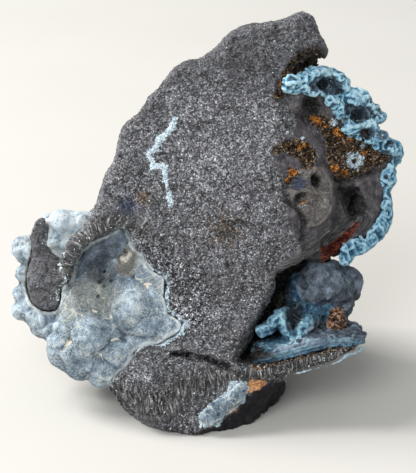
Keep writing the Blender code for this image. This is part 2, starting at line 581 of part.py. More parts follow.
def on_side(x, y, lift):
    """A point over the rock's right side, lifted out of it along the depth."""
    return seen(x, y, SIDE_DEPTH + SIDE_SLOPE * (x - SIDE_START) + lift)


def make_upper_crust():
    front, back = SIDE_DEPTH + UPPER_FRONT, SIDE_DEPTH + UPPER_BACK
    solids = [slab(UPPER_CRUST, front, back, SIDE_SLOPE, SIDE_START)]
    solids += [ball(on_side(x, y, lift + UPPER_FRONT), (r, r, r)) for x, y, lift, r in UPPER_LUMPS]
    body = grown_together(solids, CRUST_VOXEL * 0.8, 1, [(1.3, 0.6)], 20000)
    for (x, y), half_sizes in UPPER_POCKETS:
        body = cut(body, ball(on_side(x, y, UPPER_FRONT + 0.8), half_sizes))
    return body


def make_foot_crust(rock):
    return grown_together(coat(rock, FOOT_PATCH, 0.9, FOOT_RADIUS, 0.2), CRUST_VOXEL, 1, [(1.2, 0.4)], 4000)


def make_hollow_crust():
    solids = [ball(seen(x, y, depth), (r, r, r)) for x, y, depth, r in HOLLOW_LUMPS]
    for step in range(CURTAIN_STEPS):
        shift = CURTAIN_LEAN * step
        route = [seen(x + shift.x, y + shift.y, CURTAIN_FRONT - step) for x, y in CURTAIN]
        solids.append(rib(route, 0.7))
    solids.append(chunk(LEDGE_COAT))
    return grown_together(solids, CRUST_VOXEL, 1, [(1.5, 0.5)], 20000)


def make_back_crust(rock):
    """A growth of small domes on the hidden back: this side isn't in the photograph."""
    dice = random.Random(BACK_SEED)
    solids = []
    for _ in range(BACK_LUMPS):
        turn = dice.uniform(0, math.tau)
        reach = math.sqrt(dice.random()) * (1 + 0.22 * math.sin(3 * turn) + 0.12 * math.sin(7 * turn))
        x = BACK_PATCH_MIDDLE.x + BACK_PATCH_HALF.x * reach * math.cos(turn)
        y = BACK_PATCH_MIDDLE.y + BACK_PATCH_HALF.y * reach * math.sin(turn)
        hit = rock.back(x, y)
        if hit is not None:
            radius = dice.uniform(1.6, 3.2) * (1.15 - 0.4 * reach)
            solids.append(ball(hit + Vector((0, 0, 0.25 * radius)), (radius, radius, radius)))
    return grown_together(solids, CRUST_VOXEL, 1, [(2.0, 0.3)], 12000)


def fitted(mesh, others, faces):
    """The mesh kept clear of the others and of the floor, as one body of about that many triangles."""
    for other in others:
        mesh = cut(mesh, other.copy())
    mesh = largest_body(cut(mesh, floor_block()))
    for voxel in FINAL_VOXELS:
        body = grown_together([mesh.copy()], voxel, 0, [], faces)
        if is_closed(body):
            return body
    return body


def paint(obj, colour, roughness, metallic=0.0):
    material = bpy.data.materials.new(obj.name)
    material.use_nodes = True
    shader = material.node_tree.nodes["Principled BSDF"]
    shader.inputs["Base Color"].default_value = (*colour, 1)
    shader.inputs["Roughness"].default_value = roughness
    shader.inputs["Metallic"].default_value = metallic
    obj.data.materials.clear()
    obj.data.materials.append(material)


def main():
    clear_scene()
    pale_blue, bright_blue, slate_blue = (0.30, 0.40, 0.48), (0.20, 0.52, 0.68), (0.12, 0.20, 0.28)
    rock_mesh = make_rock()
    rock = Rock(rock_mesh)
    beside_rock = grown_out(rock_mesh, GAP)
    hollow_crust = fitted(make_hollow_crust(), [beside_rock], HOLLOW_FACES)
    beside_hollow = grown_out(hollow_crust, GAP)
    ledge_rim = rib([seen(*place) for place in LEDGE_RIM], 0.8)
    pieces = [
        ("rock", rock_mesh, (0.05, 0.05, 0.055)),
        ("left_crust", fitted(make_left_crust(), [beside_rock], LEFT_FACES), pale_blue),
        ("upper_crust", fitted(make_upper_crust(), [beside_rock, beside_hollow], UPPER_FACES), bright_blue),
        ("hollow_crust", hollow_crust, slate_blue),
        ("ledge_rim", fitted(ledge_rim, [beside_rock, beside_hollow], SMALL_FACES), pale_blue),
        ("foot_crust", fitted(make_foot_crust(rock), [beside_rock], SMALL_FACES), pale_blue),
        ("back_crust", fitted(make_back_crust(rock), [beside_rock], BACK_FACES), pale_blue),
        ("brown_crystal", fitted(chunk(BROWN_CRYSTAL), [beside_rock, beside_hollow], SMALL_FACES),
         (0.30, 0.14, 0.06)),
    ]
    parts = bpy.data.collections.new("shattuckite_specimen")
    bpy.context.scene.collection.children.link(parts)
    for name, mesh, colour in pieces:
        mesh.transform(FACE_TO_PART)
        mesh.name = name
        obj = bpy.data.objects.new(name, mesh)
        parts.objects.link(obj)
        paint(obj, colour, 0.5)


main()
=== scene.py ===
"""The looks of a shattuckite specimen: granular dark rock and velvety blue crusts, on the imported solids.

Places are given in the face frame of the solids, in millimetres: X to the right, Y up the broken front
face, and depth out of it. An outline or a line is written as the eye sees it from the camera's place.
"""

import math

import bmesh
import bpy
import numpy as np
from mathutils import Matrix, Vector, noise
from mathutils.bvhtree import BVHTree


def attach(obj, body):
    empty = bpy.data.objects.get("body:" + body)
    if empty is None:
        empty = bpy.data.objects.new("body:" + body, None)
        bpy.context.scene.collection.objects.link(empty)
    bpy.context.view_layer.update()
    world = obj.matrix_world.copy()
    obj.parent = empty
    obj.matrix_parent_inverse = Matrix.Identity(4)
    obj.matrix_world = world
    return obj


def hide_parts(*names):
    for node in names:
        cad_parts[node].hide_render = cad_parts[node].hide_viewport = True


MM = 0.001
LEAN = math.radians(22)
UP_FACE = np.array([0.0, math.sin(LEAN), math.cos(LEAN)])
OUT_OF_FACE = np.array([0.0, -math.cos(LEAN), math.sin(LEAN)])
BASE_MIDDLE = np.array([-1.0, 22.0, 0.0])
EYE_HEIGHT = 40.0
EYE_FAR = 450.0
VIEW_HEIGHT = 94.6
CAMERA_LIFT = 0.1
SENSOR_HEIGHT = 36.0
LAMP_AIM = (0.0, 0.0, 0.04)

# A mark fades in between two depths: on the whole front, the front and foot, or the face alone.
FRONT_DEPTHS = (-26.0, -20.0)
FOOT_DEPTHS = (-34.0, -24.0)
FACE_DEPTHS = (-9.0, -6.0)

# Regions of the rock, as the eye sees them. A spot, dome or hollow is (x, y, radius).
SIDE = [
    (18.4, 38), (16.4, 43), (15.6, 46.6), (15.2, 50.8), (14, 53.6), (12.6, 56), (13, 58.4), (17, 60.4),
    (17.6, 63), (16.6, 65.8), (14.6, 66.6), (13.4, 68.6), (13.6, 71), (15.2, 73.6), (17.4, 77),
    (24, 78), (26, 72), (34, 67), (42, 60), (40, 40), (31, 33), (20, 33), (12, 32),
]
BROWN_ZONES = [
    [
        (19.5, 64.4), (22.9, 64.4), (26.9, 61.6), (30.6, 59.4), (34.5, 58.8), (36.4, 56.3),
        (34.2, 54.1), (30.6, 52.6), (27.5, 51.4), (25, 52), (24.1, 54.1), (23.8, 56.6), (23.5, 59),
        (22.6, 61.5), (19.8, 62.8),
    ],
    [
        (13, 57.8), (15.6, 59.2), (18, 59.6), (20.8, 58.4), (21.8, 56.6), (21.1, 53.8), (19.4, 53.4),
        (18.2, 55.4), (15.6, 57), (13.4, 56.4),
    ],
    [
        (13, 66.8), (14, 71), (15.4, 73.6), (17.2, 76.4), (21.7, 78), (23.4, 76), (22, 73.6), (18, 71),
        (15.4, 69.8), (15, 67.8),
    ],
    [(15.2, 50.8), (16.2, 53.6), (18, 53.8), (18.2, 52.4), (16.8, 51.4), (16, 50.2)],
]
DARK_POCKET = [
    (17.4, 76.6), (21, 78.4), (23, 77.4), (23.6, 75.4), (21.8, 73.4), (19, 72.2), (16.6, 72.6),
    (15.8, 74.4),
]
# Holes in the rock, sunk into it and painted near black as the shade inside them.
HOLES = [
    [(20.7, 52.3), (21.7, 52.8), (22.1, 51.2), (21.5, 49.8), (20.8, 50.6)],
    [(17.9, 48.7), (19.6, 48.9), (18.9, 47.5), (17.7, 46.4), (17.3, 47.4)],
    [(19.4, 67.4), (20.4, 68), (21.8, 67.8), (22.6, 66.4), (21.8, 64.2), (20, 64.6), (19.2, 65.8)],
    [
        (27, 51.2), (27.4, 49.2), (28.6, 50), (29.8, 49.6), (30.8, 47.6), (30.2, 45.2), (29.2, 43.6),
        (27.8, 44.8), (27, 47.4), (26.2, 49.6),
    ],
    [(24.6, 36), (27.6, 38.4), (28.6, 36.8), (27.6, 35), (25.6, 34.4)],
]
SLATE_SPOT = [
    (16.4, 51.2), (17.4, 52), (18.8, 51.9), (19.8, 51.2), (19.6, 49.8), (18, 49.4), (16.8, 49.7),
]
BLACK_LINES = [
    [(15.6, 50.8), (15.8, 47.4), (18.3, 45), (19.5, 42.8), (18.9, 39.4)],
    [(25.4, 51.4), (27.4, 51.2), (31, 52.2), (34.6, 53.8), (36.4, 55.4)],
    [(-7, 16.6), (-4.8, 16.5), (-2.4, 15.9), (-0.3, 15.8), (1.4, 14.9), (4, 14.2)],
]
LUMP_RIDGES = [
    [
        (16.4, 51.8), (19.8, 53.8), (22.9, 53.8), (24.4, 51), (24.9, 46.8), (24.1, 44.4), (22, 42.5),
        (19.8, 42.2),
    ],
    [(15.8, 49.4), (18, 49), (20.4, 49), (24.4, 48.8)],
]
LUMP = [
    (15.8, 49), (17, 52.4), (19.8, 53.6), (22.9, 53.4), (24.4, 50.8), (24.8, 46.8), (24, 44.4),
    (22, 42.6), (19.8, 42.4), (19, 44.4), (16.4, 46.6),
]
FLOW_LINE = [
    (8, 31.6), (11.9, 33.3), (15.6, 33.9), (19.8, 35.4), (22.6, 37.3), (25, 39.4), (27.8, 41.3),
    (30.2, 43.7),
]
BLACK_FOOT = [
    (-0.4, -1), (4, 1), (10, 3), (16, 9), (16.6, 11.4), (12.6, 11.2), (9.6, 9.4), (7.4, 8), (6, 5.4),
    (3.2, 3.8), (2.4, 2.2), (0, 1.8), (-2, 1.4),
]
BLUE_FOOT = [
    (7.5, 11.2), (8.3, 9.9), (7.2, 7.8), (5.9, 5.9), (3, 3.8), (2.4, 2.2), (-1.6, 2), (-2, 4.4),
    (1.2, 7.3), (3.6, 9.1), (4.4, 11.2),
]
CLAY = [
    [(8.6, 11.5), (11.9, 11.2), (10.4, 9.6), (7.8, 8.8), (7.7, 10.2)],
    [(6, 7.2), (5.7, 5.3), (3.4, 4.2), (3.6, 5.2)],
    [(-1.8, 3), (0, 2.9), (0.6, 2.1), (-1.4, 2)],
]
RED_STREAK = [
    (22.4, 37.9), (23.8, 38.1), (26, 39.9), (27.8, 41.4), (30.2, 43.4), (30.2, 42.4), (28.4, 40),
    (27.2, 37.6), (24.7, 35.4), (22.7, 34.6),
]
DARK_PATCH = [
    (-32, 45), (-35.2, 43), (-36.2, 39.2), (-35.7, 35.3), (-36.8, 31.4), (-36.6, 28.8), (-34.8, 25.6),
    (-32, 24.4), (-29.5, 25.2), (-28.1, 28), (-29.4, 31.8), (-30, 34), (-29.4, 36.4), (-31.2, 38.2),
    (-31.4, 42.4),
]
COARSE_ZONE = [
    (-14, 40), (-10, 38), (-6, 35), (-2, 33), (0, 28), (-1, 22), (-6, 21), (-9, 24), (-9.4, 30),
    (-12.6, 35),
]
VEIN = [
    (-6.4, 63.8), (-6.9, 62.2), (-7.7, 61.2), (-9, 60.4), (-9.9, 60), (-10.4, 58.6), (-10.5, 57.6),
    (-11.6, 57), (-12, 56.2), (-11, 55), (-10.9, 54), (-9.9, 54.3), (-9, 54), (-8.5, 52.4),
    (-8.3, 50.6), (-7.9, 48.7), (-7.4, 47),
]
JAW_BAND = [(-19, 9), (-10, 6.5), (-3, 10), (4, 11.6), (14, 13.6), (22, 16.4), (31, 18.2)]
CLAW_ARCH = [(-28.6, 31), (-28.2, 36), (-24.5, 40.4), (-17.5, 44), (-13.6, 42)]
JAW_REACH = 5.0
CLAW_REACH = 4.6
CLAW_MIDDLE = (-20, 33)
# Middle of a broad pool of painted light, a sheen, on the rock's face.
PAINTED_LIGHT_MIDDLE = (4, 54)
CLAW_SEAM = [(-29.2, 37.4), (-29.6, 34.4), (-28.6, 32), (-28, 29.6), (-27, 28.6)]
LEDGE_CORE = [(9.6, 14.6), (12.7, 15.2), (19.4, 16.9), (25.5, 18.2), (30, 19)]
RUST_SPOTS = [
    (22, 63.2, 1.1), (21, 63.9, 0.8), (25.7, 61.2, 1.1), (31.2, 56.7, 0.8), (18.3, 57.8, 0.9),
    (25.4, 53.8, 1.2), (27.3, 52.9, 1), (16.9, 52.9, 1.2), (15.9, 51.4, 0.7),
    (18.3, 71.9, 1.3), (28.6, 59.8, 0.9), (19.4, 58.4, 0.5), (23.6, 62.4, 0.6),
    (26.6, 60.4, 0.6), (16.6, 70.4, 0.6), (19.2, 46.8, 0.5), (25, 55.6, 0.6),
    (20.6, 72.6, 0.8),
]
PALE_SPOTS = [
    (25.2, 62.9, 1.2), (18.9, 59.8, 0.7), (27.2, 63.5, 1.1), (34.8, 57.4, 1), (31, 58.2, 0.9),
    (15.9, 60.9, 0.6), (28.5, 58.8, 0.5), (19.4, 46.4, 0.5), (25.6, 55.8, 0.4),
]
PALE_RING = ((29.3, 55.2), 1.15, 0.42)
PIT = (3.6, 41.4)
PIT_RAYS = 6
RUST_TINT = (-13, 47.8)
BLUISH_SPOT = (-16, 46)
FAINT_LINE = [(-21, 49.5), (-16, 46), (-15, 43)]

# Regions of the crusts.
LEFT_RECESS = [
    (-26.8, 34.2), (-26.4, 36.4), (-24.8, 37.8), (-22.4, 39.4), (-19.6, 40.8), (-16.2, 42.8),
    (-14.8, 41.4), (-15.2, 39.6), (-17, 36.6), (-19, 35.2), (-21, 34.4), (-23.4, 34.4), (-25.4, 32.6),
    (-27.6, 31),
]
BOWL_MIDDLE = (-20.5, 32.8)
STALAGMITES = [
    [(-22.6, 36), (-21.6, 32.6), (-21, 31.4)],
    [(-17.6, 36.4), (-17.4, 33.6)],
    [(-16, 33.2), (-15, 32.2)],
]
RECESS_DOTS = [
    (-21.7, 31, 0.7), (-20.8, 30.2, 0.6), (-22, 28.2, 0.6), (-19.4, 31.2, 0.5),
    (-16.6, 37.2, 0.6),
]
TAN_PATCH = [
    (-17.8, 36), (-16.4, 38.2), (-14.8, 39.4), (-13.8, 37.2), (-14.2, 34.4), (-15, 32.4), (-17.2, 32.2),
    (-18.6, 33.4),
]
TOP_CRUST = [(-31.6, 46), (-18, 46), (-18, 41), (-24, 39.4), (-28.6, 36), (-31, 39)]
FAN_MIDDLE = (-15.6, 38.6)
FAN = [
    (-14.8, 33), (-13.6, 37.6), (-11.8, 37.4), (-11.4, 34.4), (-8.6, 32.6), (-8.4, 31), (-9.2, 29.4),
    (-12, 30.4),
]
OLIVE_ZONE = [
    (-28.4, 30), (-24, 32.6), (-19.8, 32), (-17.6, 28), (-20, 24), (-24, 24.4), (-28.4, 22.4),
    (-29.8, 26),
]
DOMES = [
    (-13.8, 25.6, 5.6), (-23.4, 20.8, 3.9), (-18.2, 16.8, 2.9), (-26.2, 15.6, 3.2),
    (-20.6, 12.9, 2), (-18.4, 21.6, 2.2), (-30.4, 20.6, 2.6), (-26.6, 26, 2.6),
    (-22, 27.6, 2.6), (-8.6, 21.8, 2), (-12.6, 18.8, 2), (-34.4, 23.6, 2.2), (-37.4, 36.6, 2),
    (-28.6, 42.6, 2.3), (-24.6, 43.4, 1.8), (-30.6, 37.8, 1.8), (-15.6, 14.6, 1.6),
]
# Pale rims of the upper crust: partly real whitish crust, partly painted highlight.
UPPER_RIMS = [
    [
        (15.2, 70.8), (17.5, 70.5), (19, 71.2), (20.4, 72.7), (23.2, 73.2), (26, 72.2), (27.8, 71),
        (27.4, 69.4), (29.2, 69), (31.2, 68.8), (32.2, 66.6), (34.6, 64.4),
    ],
    [
        (15.2, 69.7), (17.7, 69.3), (19.6, 70.1), (20.4, 68.8), (22.8, 68.4), (25, 68), (26.6, 66.4),
        (25.4, 65),
    ],
    [(34.6, 64), (32.6, 62.8), (29.8, 62.2), (27.6, 61.8)],
]
# Hollows of the upper crust, sunk and painted slate as shade.
UPPER_HOLLOWS = [
    (24, 70.4, 3), (21.8, 70.1, 1.8), (26.2, 69.8, 1.6), (32.4, 66.4, 1.7), (33.8, 64.8, 1.5),
    (30.4, 64.3, 2.3), (28.4, 65.6, 1.4), (31.9, 61, 2), (34.8, 60.4, 1.4), (36.6, 58.6, 0.9),
    (35.6, 56.2, 1.6), (33, 65, 0.9), (35.6, 52, 0.7), (18, 70, 0.8),
]
CURTAIN_RIMS = [
    [
        (9.6, 22), (11, 21.7), (12.9, 22.8), (13.7, 24.5), (14.5, 24.7), (14.7, 22.8), (15.5, 20.9),
        (16.6, 19.6), (17.7, 19.3), (18.1, 20.6),
    ],
    [(6.7, 18.5), (8.3, 17.3), (9.4, 18.5), (11, 18.5), (12.9, 18), (14.5, 18.2), (17.4, 19)],
    [(18.2, 20), (18.4, 22.6), (19.4, 23.4), (19.9, 21.8), (19.4, 19.8), (19.9, 18.8)],
]
LEDGE_BAND = [(8, 15), (13.4, 16.2), (19.8, 18), (24.6, 19.2), (28, 19.4), (30.8, 19.2)]
GREY_DOMES = [
    (21.6, 32.8, 3.2), (25.8, 29.6, 3), (29.2, 31.2, 2.6), (21.4, 28.4, 2), (25, 33.6, 2.2),
    (29.6, 27.6, 2),
]
LEDGE_TOP = [(8, 15.4), (14, 18), (19, 20.4), (21, 23.6), (31, 23), (33, 19.6), (20, 17.4)]
# The gap under the jaw, painted black as shade.
GAP_UNDER_JAW = [(4, 14), (6, 17), (9, 19), (13, 16.4), (16, 16.8), (9, 15)]
BROWN_POCKET = [(15.6, 22.4), (15.4, 25.4), (17.2, 27.4), (19.4, 25.8), (18.8, 22.8), (17, 21.2)]
GREY_LUMPS = [
    (19, 26.8), (17.6, 30), (18.6, 34.6), (22, 37), (28, 36), (34, 34), (33, 27), (28, 22.6),
    (25, 26.4),
]
# The cave on the right, where the rock is painted dark as shade where it lies deep.
RIGHT_CAVE = [(9, 16), (9, 34.5), (60, 34.5), (60, 16)]
EDGE_TINT = (0.60, 0.72, 0.80)
NO_PALE_EDGE = 5.0
CRUST_MARKS = ("shade", "tan", "olive", "banded", "across", "line", "black", "crest", "rim")
SMALL_CRUSTS = (("ledge_rim", -0.25, 41), ("foot_crust", 0.5, 42), ("back_crust", 0.5, 43))
GLINTS = 9000
GLINT_SEED = 5
GLINT_SIZES = (0.09, 0.21)
GLINT_FREE_HEIGHT = 1.2


def in_face_frame(points):
    """World points in metres as (x, y, depth) rows in the face frame."""
    moved = points / MM + BASE_MIDDLE
    return np.column_stack([moved[:, 0], moved @ UP_FACE, moved @ OUT_OF_FACE])


def as_seen(face_points):
    """Where the eye sees each point on the plane of the face."""
    share = EYE_FAR / (EYE_FAR - face_points[:, 2])
    above_eye = face_points[:, 1] - EYE_HEIGHT
    return np.column_stack([face_points[:, 0] * share, EYE_HEIGHT + above_eye * share])


def to_line(seen, line, closed=False):
    """The distance of each seen point from a run of straight stretches."""
    nearest = np.full(len(seen), 1e6)
    corners = [np.array(corner, float) for corner in line]
    ends = corners[1:] + corners[:1] if closed else corners[1:]
    for start, end in zip(corners, ends):
        along = end - start
        share = np.clip((seen - start) @ along / (along @ along), 0, 1)
        nearest = np.minimum(nearest, np.linalg.norm(seen - start - share[:, None] * along, axis=1))
    return nearest


def to_lines(seen, lines):
    return np.min([to_line(seen, line) for line in lines], axis=0)


def to_point(seen, point):
    return np.linalg.norm(seen - np.array(point), axis=1)


def depth_inside(seen, outline):
    """How far each seen point is inside the outline, and less than 0 outside it."""
    inside = np.zeros(len(seen), bool)
    for (x0, y0), (x1, y1) in zip(outline, outline[1:] + outline[:1]):
        if y0 == y1:
            continue
        crosses = (y0 > seen[:, 1]) != (y1 > seen[:, 1])
        crossing = x0 + (seen[:, 1] - y0) / (y1 - y0) * (x1 - x0)
        inside ^= crosses & (seen[:, 0] < crossing)
    return np.where(inside, 1, -1) * to_line(seen, outline, closed=True)


def region(seen, outline, soft=0.6):
    """1 well inside the outline and 0 outside it, with a soft edge."""
    return step(depth_inside(seen, outline), -soft, soft)


def regions(seen, outlines, soft=0.6):
    return np.max([region(seen, outline, soft) for outline in outlines], axis=0)


def spots(seen, places):
    """How far each seen point is inside a round spot: 1 in its middle, 0 from its radius on."""
    strength = np.zeros(len(seen))
    for x, y, radius in places:
        strength = np.maximum(strength, 1 - to_point(seen, (x, y)) / radius)
    return strength


def step(values, low, high):
    """0 below low, 1 above high, and smooth between."""
    share = np.clip((values - low) / (high - low), 0, 1)
    return share * share * (3 - 2 * share)


def near(distance, reach):
    """1 at no distance, falling smoothly to 0 at that reach."""
    return step(-distance, -reach, 0)


def bumps(points, size, seed):
    """A smooth noise from about -1 to 1 with bumps of that size; each seed gives another one."""
    shift = Vector((17.3 * seed, -9.1 * seed, 5.7 * seed))
    return np.array([noise.noise(Vector(point) / size + shift) for point in points])


def cells(points, size, seed):
    """Per point, in cells of that size: how near the middle, how far from the edge, a random number."""
    shift = Vector((7.7 * seed, 3.1 * seed, -4.3 * seed))
    rows = np.empty((len(points), 3))
    for index, point in enumerate(points):
        distances, middles = noise.voronoi(Vector(point) / size + shift)
        rows[index] = 1 - distances[0], distances[1] - distances[0], noise.cell(middles[0] * 37.0)
    return rows.T


def wavered(rows, face, size, seed, reach):
    """The rows, with each column shifted by up to about that reach by a noise of its own."""
    shifts = [bumps(face, size, seed + column) for column in range(rows.shape[1])]
    return rows + np.column_stack(shifts) * reach


def dome_lift(seen, domes, steepness):
    """How high each seen point lies on the round domes, which rise by that share of their radius."""
    lift = np.zeros(len(seen))
    for x, y, radius in domes:
        share = np.clip(1 - (to_point(seen, (x, y)) / radius) ** 2, 0, 1)
        lift = np.maximum(lift, np.sqrt(share) * radius * steepness)
    return lift


def column_zones(seen):
    """1 along the claw's arch and the jaw, where the rock is drawn out into columns."""
    claw = near(to_line(seen, CLAW_ARCH), CLAW_REACH)
    return np.maximum(claw, near(to_line(seen, JAW_BAND), JAW_REACH))


def pit_waves(seen):
    """How far each seen point is from the pit, and a wave from -1 to 1 whose crests are its rays."""
    distance = to_point(seen, PIT)
    turn = np.arctan2(seen[:, 1] - PIT[1], seen[:, 0] - PIT[0])
    return distance, np.sin(PIT_RAYS * turn + distance)


def vertex_array(mesh, what):
    """The places ("co") or the normals ("normal") of the vertices, a row for each."""
    values = np.empty(len(mesh.vertices) * 3)
    mesh.vertices.foreach_get(what, values)
    return values.reshape(-1, 3)


def add_object(name, data):
    """A new object in the scene."""
    obj = bpy.data.objects.new(name, data)
    bpy.context.scene.collection.objects.link(obj)
    return obj


def face_and_seen(mesh):
    """The vertices in the face frame, and where the eye sees them."""
    face = in_face_frame(vertex_array(mesh, "co"))
    return face, as_seen(face)


def baked(obj):
    """The object's evaluated mesh; the object is removed."""
    bpy.context.view_layer.update()
    graph = bpy.context.evaluated_depsgraph_get()
    mesh = bpy.data.meshes.new_from_object(obj.evaluated_get(graph))
    bpy.data.objects.remove(obj, do_unlink=True)
    return mesh


def refined(node, growth, voxel, rounds):
    """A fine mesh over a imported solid, grown by that much, with its flat facets smoothed away."""
    bm = bmesh.new()
    bm.from_mesh(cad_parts[node].data)
    bmesh.ops.remove_doubles(bm, verts=bm.verts, dist=1e-6)
    bm.normal_update()
    for vertex, normal in [(vertex, vertex.normal.copy()) for vertex in bm.verts]:
        vertex.co += normal * growth * MM
    mesh = bpy.data.meshes.new(node)
    bm.to_mesh(mesh)
    bm.free()
    obj = add_object(node, mesh)
    remesh = obj.modifiers.new("remesh", "REMESH")
    remesh.mode = "VOXEL"
    remesh.voxel_size = voxel * MM
    smooth = obj.modifiers.new("smooth", "SMOOTH")
    smooth.iterations = rounds
    return baked(obj)


def push(mesh, heights, places=None):
    """Moves each vertex along its normal by that many millimetres, but not below the floor."""
    if places is None:
        places = vertex_array(mesh, "co")
    places = places + vertex_array(mesh, "normal") * heights[:, None] * MM
    places[:, 2] = np.maximum(places[:, 2], 0.0)
    mesh.vertices.foreach_set("co", places.ravel())
    mesh.update()


def smoothed(mesh, values, rounds):
    """Numbers or places per vertex, spread over the neighbours that many times."""
    edges = np.empty(len(mesh.edges) * 2, int)
    mesh.edges.foreach_get("vertices", edges)
    first, second = edges.reshape(-1, 2).T
    size = len(values)
    count = np.bincount(first, minlength=size) + np.bincount(second, minlength=size)
    columns = np.array(values, float).reshape(size, -1)
    for _ in range(rounds):
        total = [
            np.bincount(first, column[second], size) + np.bincount(second, column[first], size)
            for column in columns.T
        ]
        columns = np.column_stack(total) / count[:, None]
    return columns


def relief(mesh, rounds=6):
    """How far each vertex stands out of its smoothed surroundings, in millimetres."""
    places = vertex_array(mesh, "co")
    offsets = places - smoothed(mesh, places, rounds)
    return np.einsum("ij,ij->i", offsets, vertex_array(mesh, "normal")) / MM


def mark(mesh, **values):
    """Stores numbers per vertex for the material to read."""
    for name, numbers in values.items():
        mesh.attributes.new(name, "FLOAT", "POINT").data.foreach_set("value", np.asarray(numbers, float))


def put(mesh, node, material, smooth=True):
    """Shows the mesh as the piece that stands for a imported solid."""
    obj = add_object(node + "_surface", mesh)
    mesh.materials.clear()
    mesh.materials.append(material)
    mesh.polygons.foreach_set("use_smooth", [smooth] * len(mesh.polygons))
    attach(obj, "root")
    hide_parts(node)
    return obj


class Look:
    """A material, with short ways to add the nodes that these surfaces need."""

    def __init__(self, name, specular=0.3, metallic=0.0):
        self.material = bpy.data.materials.new(name)
        self.material.use_nodes = True
        self.nodes = self.material.node_tree.nodes
        self.links = self.material.node_tree.links
        self.shader = self.nodes["Principled BSDF"]
        self.shader.inputs["Specular IOR Level"].default_value = specular
        self.shader.inputs["Metallic"].default_value = metallic
        object_place = self.nodes.new("ShaderNodeTexCoord").outputs["Object"]
        self.place = self.vector("SCALE", object_place, scale=1 / MM)
        self.colour = None

    def feed(self, socket, value):
        if isinstance(value, bpy.types.NodeSocket):
            self.links.new(value, socket)
        elif isinstance(value, tuple):
            socket.default_value = (*value, 1.0) if len(socket.default_value) == 4 else value
        else:
            socket.default_value = value

    def vector(self, operation, first, second=None, scale=None):
        node = self.nodes.new("ShaderNodeVectorMath")
        node.operation = operation
        self.feed(node.inputs[0], first)
        if second is not None:
            self.feed(node.inputs[1], second)
        if scale is not None:
            self.feed(node.inputs["Scale"], scale)
        return node.outputs["Vector"]

    def value(self, name):
        node = self.nodes.new("ShaderNodeAttribute")
        node.attribute_name = name
        return node.outputs["Fac"]

    def calc(self, operation, first, second=0.0, third=0.0):
        node = self.nodes.new("ShaderNodeMath")
        node.operation = operation
        for socket, value in zip(node.inputs, (first, second, third)):
            self.feed(socket, value)
        return node.outputs["Value"]

    def plus(self, first, second):
        return self.calc("ADD", first, second)

    def times(self, first, second):
        return self.calc("MULTIPLY", first, second)

    def centred(self, value, share=1.0):
        """A 0 to 1 value as one about 0, times that share."""
        return self.calc("MULTIPLY_ADD", value, share, -0.5 * share)

    def mix(self, share, first, second, blend="MIX"):
        node = self.nodes.new("ShaderNodeMix")
        node.data_type = "RGBA"
        node.blend_type = blend
        self.feed(node.inputs["Factor"], share)
        colours = [socket for socket in node.inputs if socket.type == "RGBA"]
        self.feed(colours[0], first)
        self.feed(colours[1], second)
        return next(socket for socket in node.outputs if socket.type == "RGBA")

    def coat(self, share, colour):
        """Lays a colour over the one so far, as strongly as the share says."""
        self.colour = self.mix(share, self.colour, colour)

    def span(self, value, low, high, start=0.0, end=1.0):
        """The value carried smoothly from low..high to start..end, and held beyond."""
        node = self.nodes.new("ShaderNodeMapRange")
        node.interpolation_type = "SMOOTHSTEP"
        names = ("Value", "From Min", "From Max", "To Min", "To Max")
        for name, number in zip(names, (value, low, high, start, end)):
            self.feed(node.inputs[name], number)
        return node.outputs["Result"]

    def ramp(self, value, stops):
        """A colour from (place, colour) stops; a plain number is a grey."""
        node = self.nodes.new("ShaderNodeValToRGB")
        elements = node.color_ramp.elements
        while len(elements) < len(stops):
            elements.new(0.5)
        for element, (place, colour) in zip(elements, stops):
            element.position = place
            element.color = (*colour, 1) if isinstance(colour, tuple) else (colour, colour, colour, 1)
        self.feed(node.inputs["Fac"], value)
        return node.outputs["Color"]

    def texture(self, kind, size, place=None):
        node = self.nodes.new("ShaderNodeTex" + kind)
        self.feed(node.inputs["Vector"], self.place if place is None else place)
        node.inputs["Scale"].default_value = 1 / size
        return node

    def cloud(self, size, detail=3.0, roughness=0.55, place=None):
        node = self.texture("Noise", size, place)
        node.inputs["Detail"].default_value = detail
        node.inputs["Roughness"].default_value = roughness
        return node.outputs["Fac"]

    def patches(self, size, low, high, strength):
        """That strength where a cloud is above high, and 0 where it is below low."""
        return self.span(self.cloud(size), low, high, 0.0, strength)

    def ragged(self, name, noise_value, reach, low, high):
        """A stored 0 to 1 share as a mask whose edge the noise breaks up, and 0 where it is 0."""
        share = self.value(name)
        weight = self.calc("MINIMUM", self.times(share, 5.0), 1.0)
        uneven = self.times(self.centred(noise_value, reach), weight)
        return self.span(self.plus(share, uneven), low, high)

    def grains(self, size):
        """A random colour for each grain of about that size."""
        return self.texture("Voronoi", size).outputs["Color"]

    def cracks(self, size, width):
        """1 along thin wandering lines between patches of about that size, and 0 elsewhere."""
        wander = self.texture("Noise", size)
        wander.inputs["Scale"].default_value = 2.4 / size
        shift = self.vector("SCALE", wander.outputs["Color"], scale=0.6 * size)
        node = self.texture("Voronoi", size, self.vector("ADD", self.place, shift))
        node.feature = "DISTANCE_TO_EDGE"
        return self.span(node.outputs["Distance"], 0.2 * width / size, width / size, 1.0, 0.0)

    def stripes(self, name, size):
        """A noise drawn out into stripes across one stored number."""
        node = self.nodes.new("ShaderNodeCombineXYZ")
        self.feed(node.inputs[0], self.value(name))
        along = self.vector("MULTIPLY", self.place, (0.0, 0.14, 0.14))
        return self.cloud(size, 2.0, 0.6, self.vector("ADD", node.outputs[0], along))

    def parts_of(self, colour):
        node = self.nodes.new("ShaderNodeSeparateColor")
        self.feed(node.inputs["Color"], colour)
        return node.outputs["Red"], node.outputs["Green"], node.outputs["Blue"]

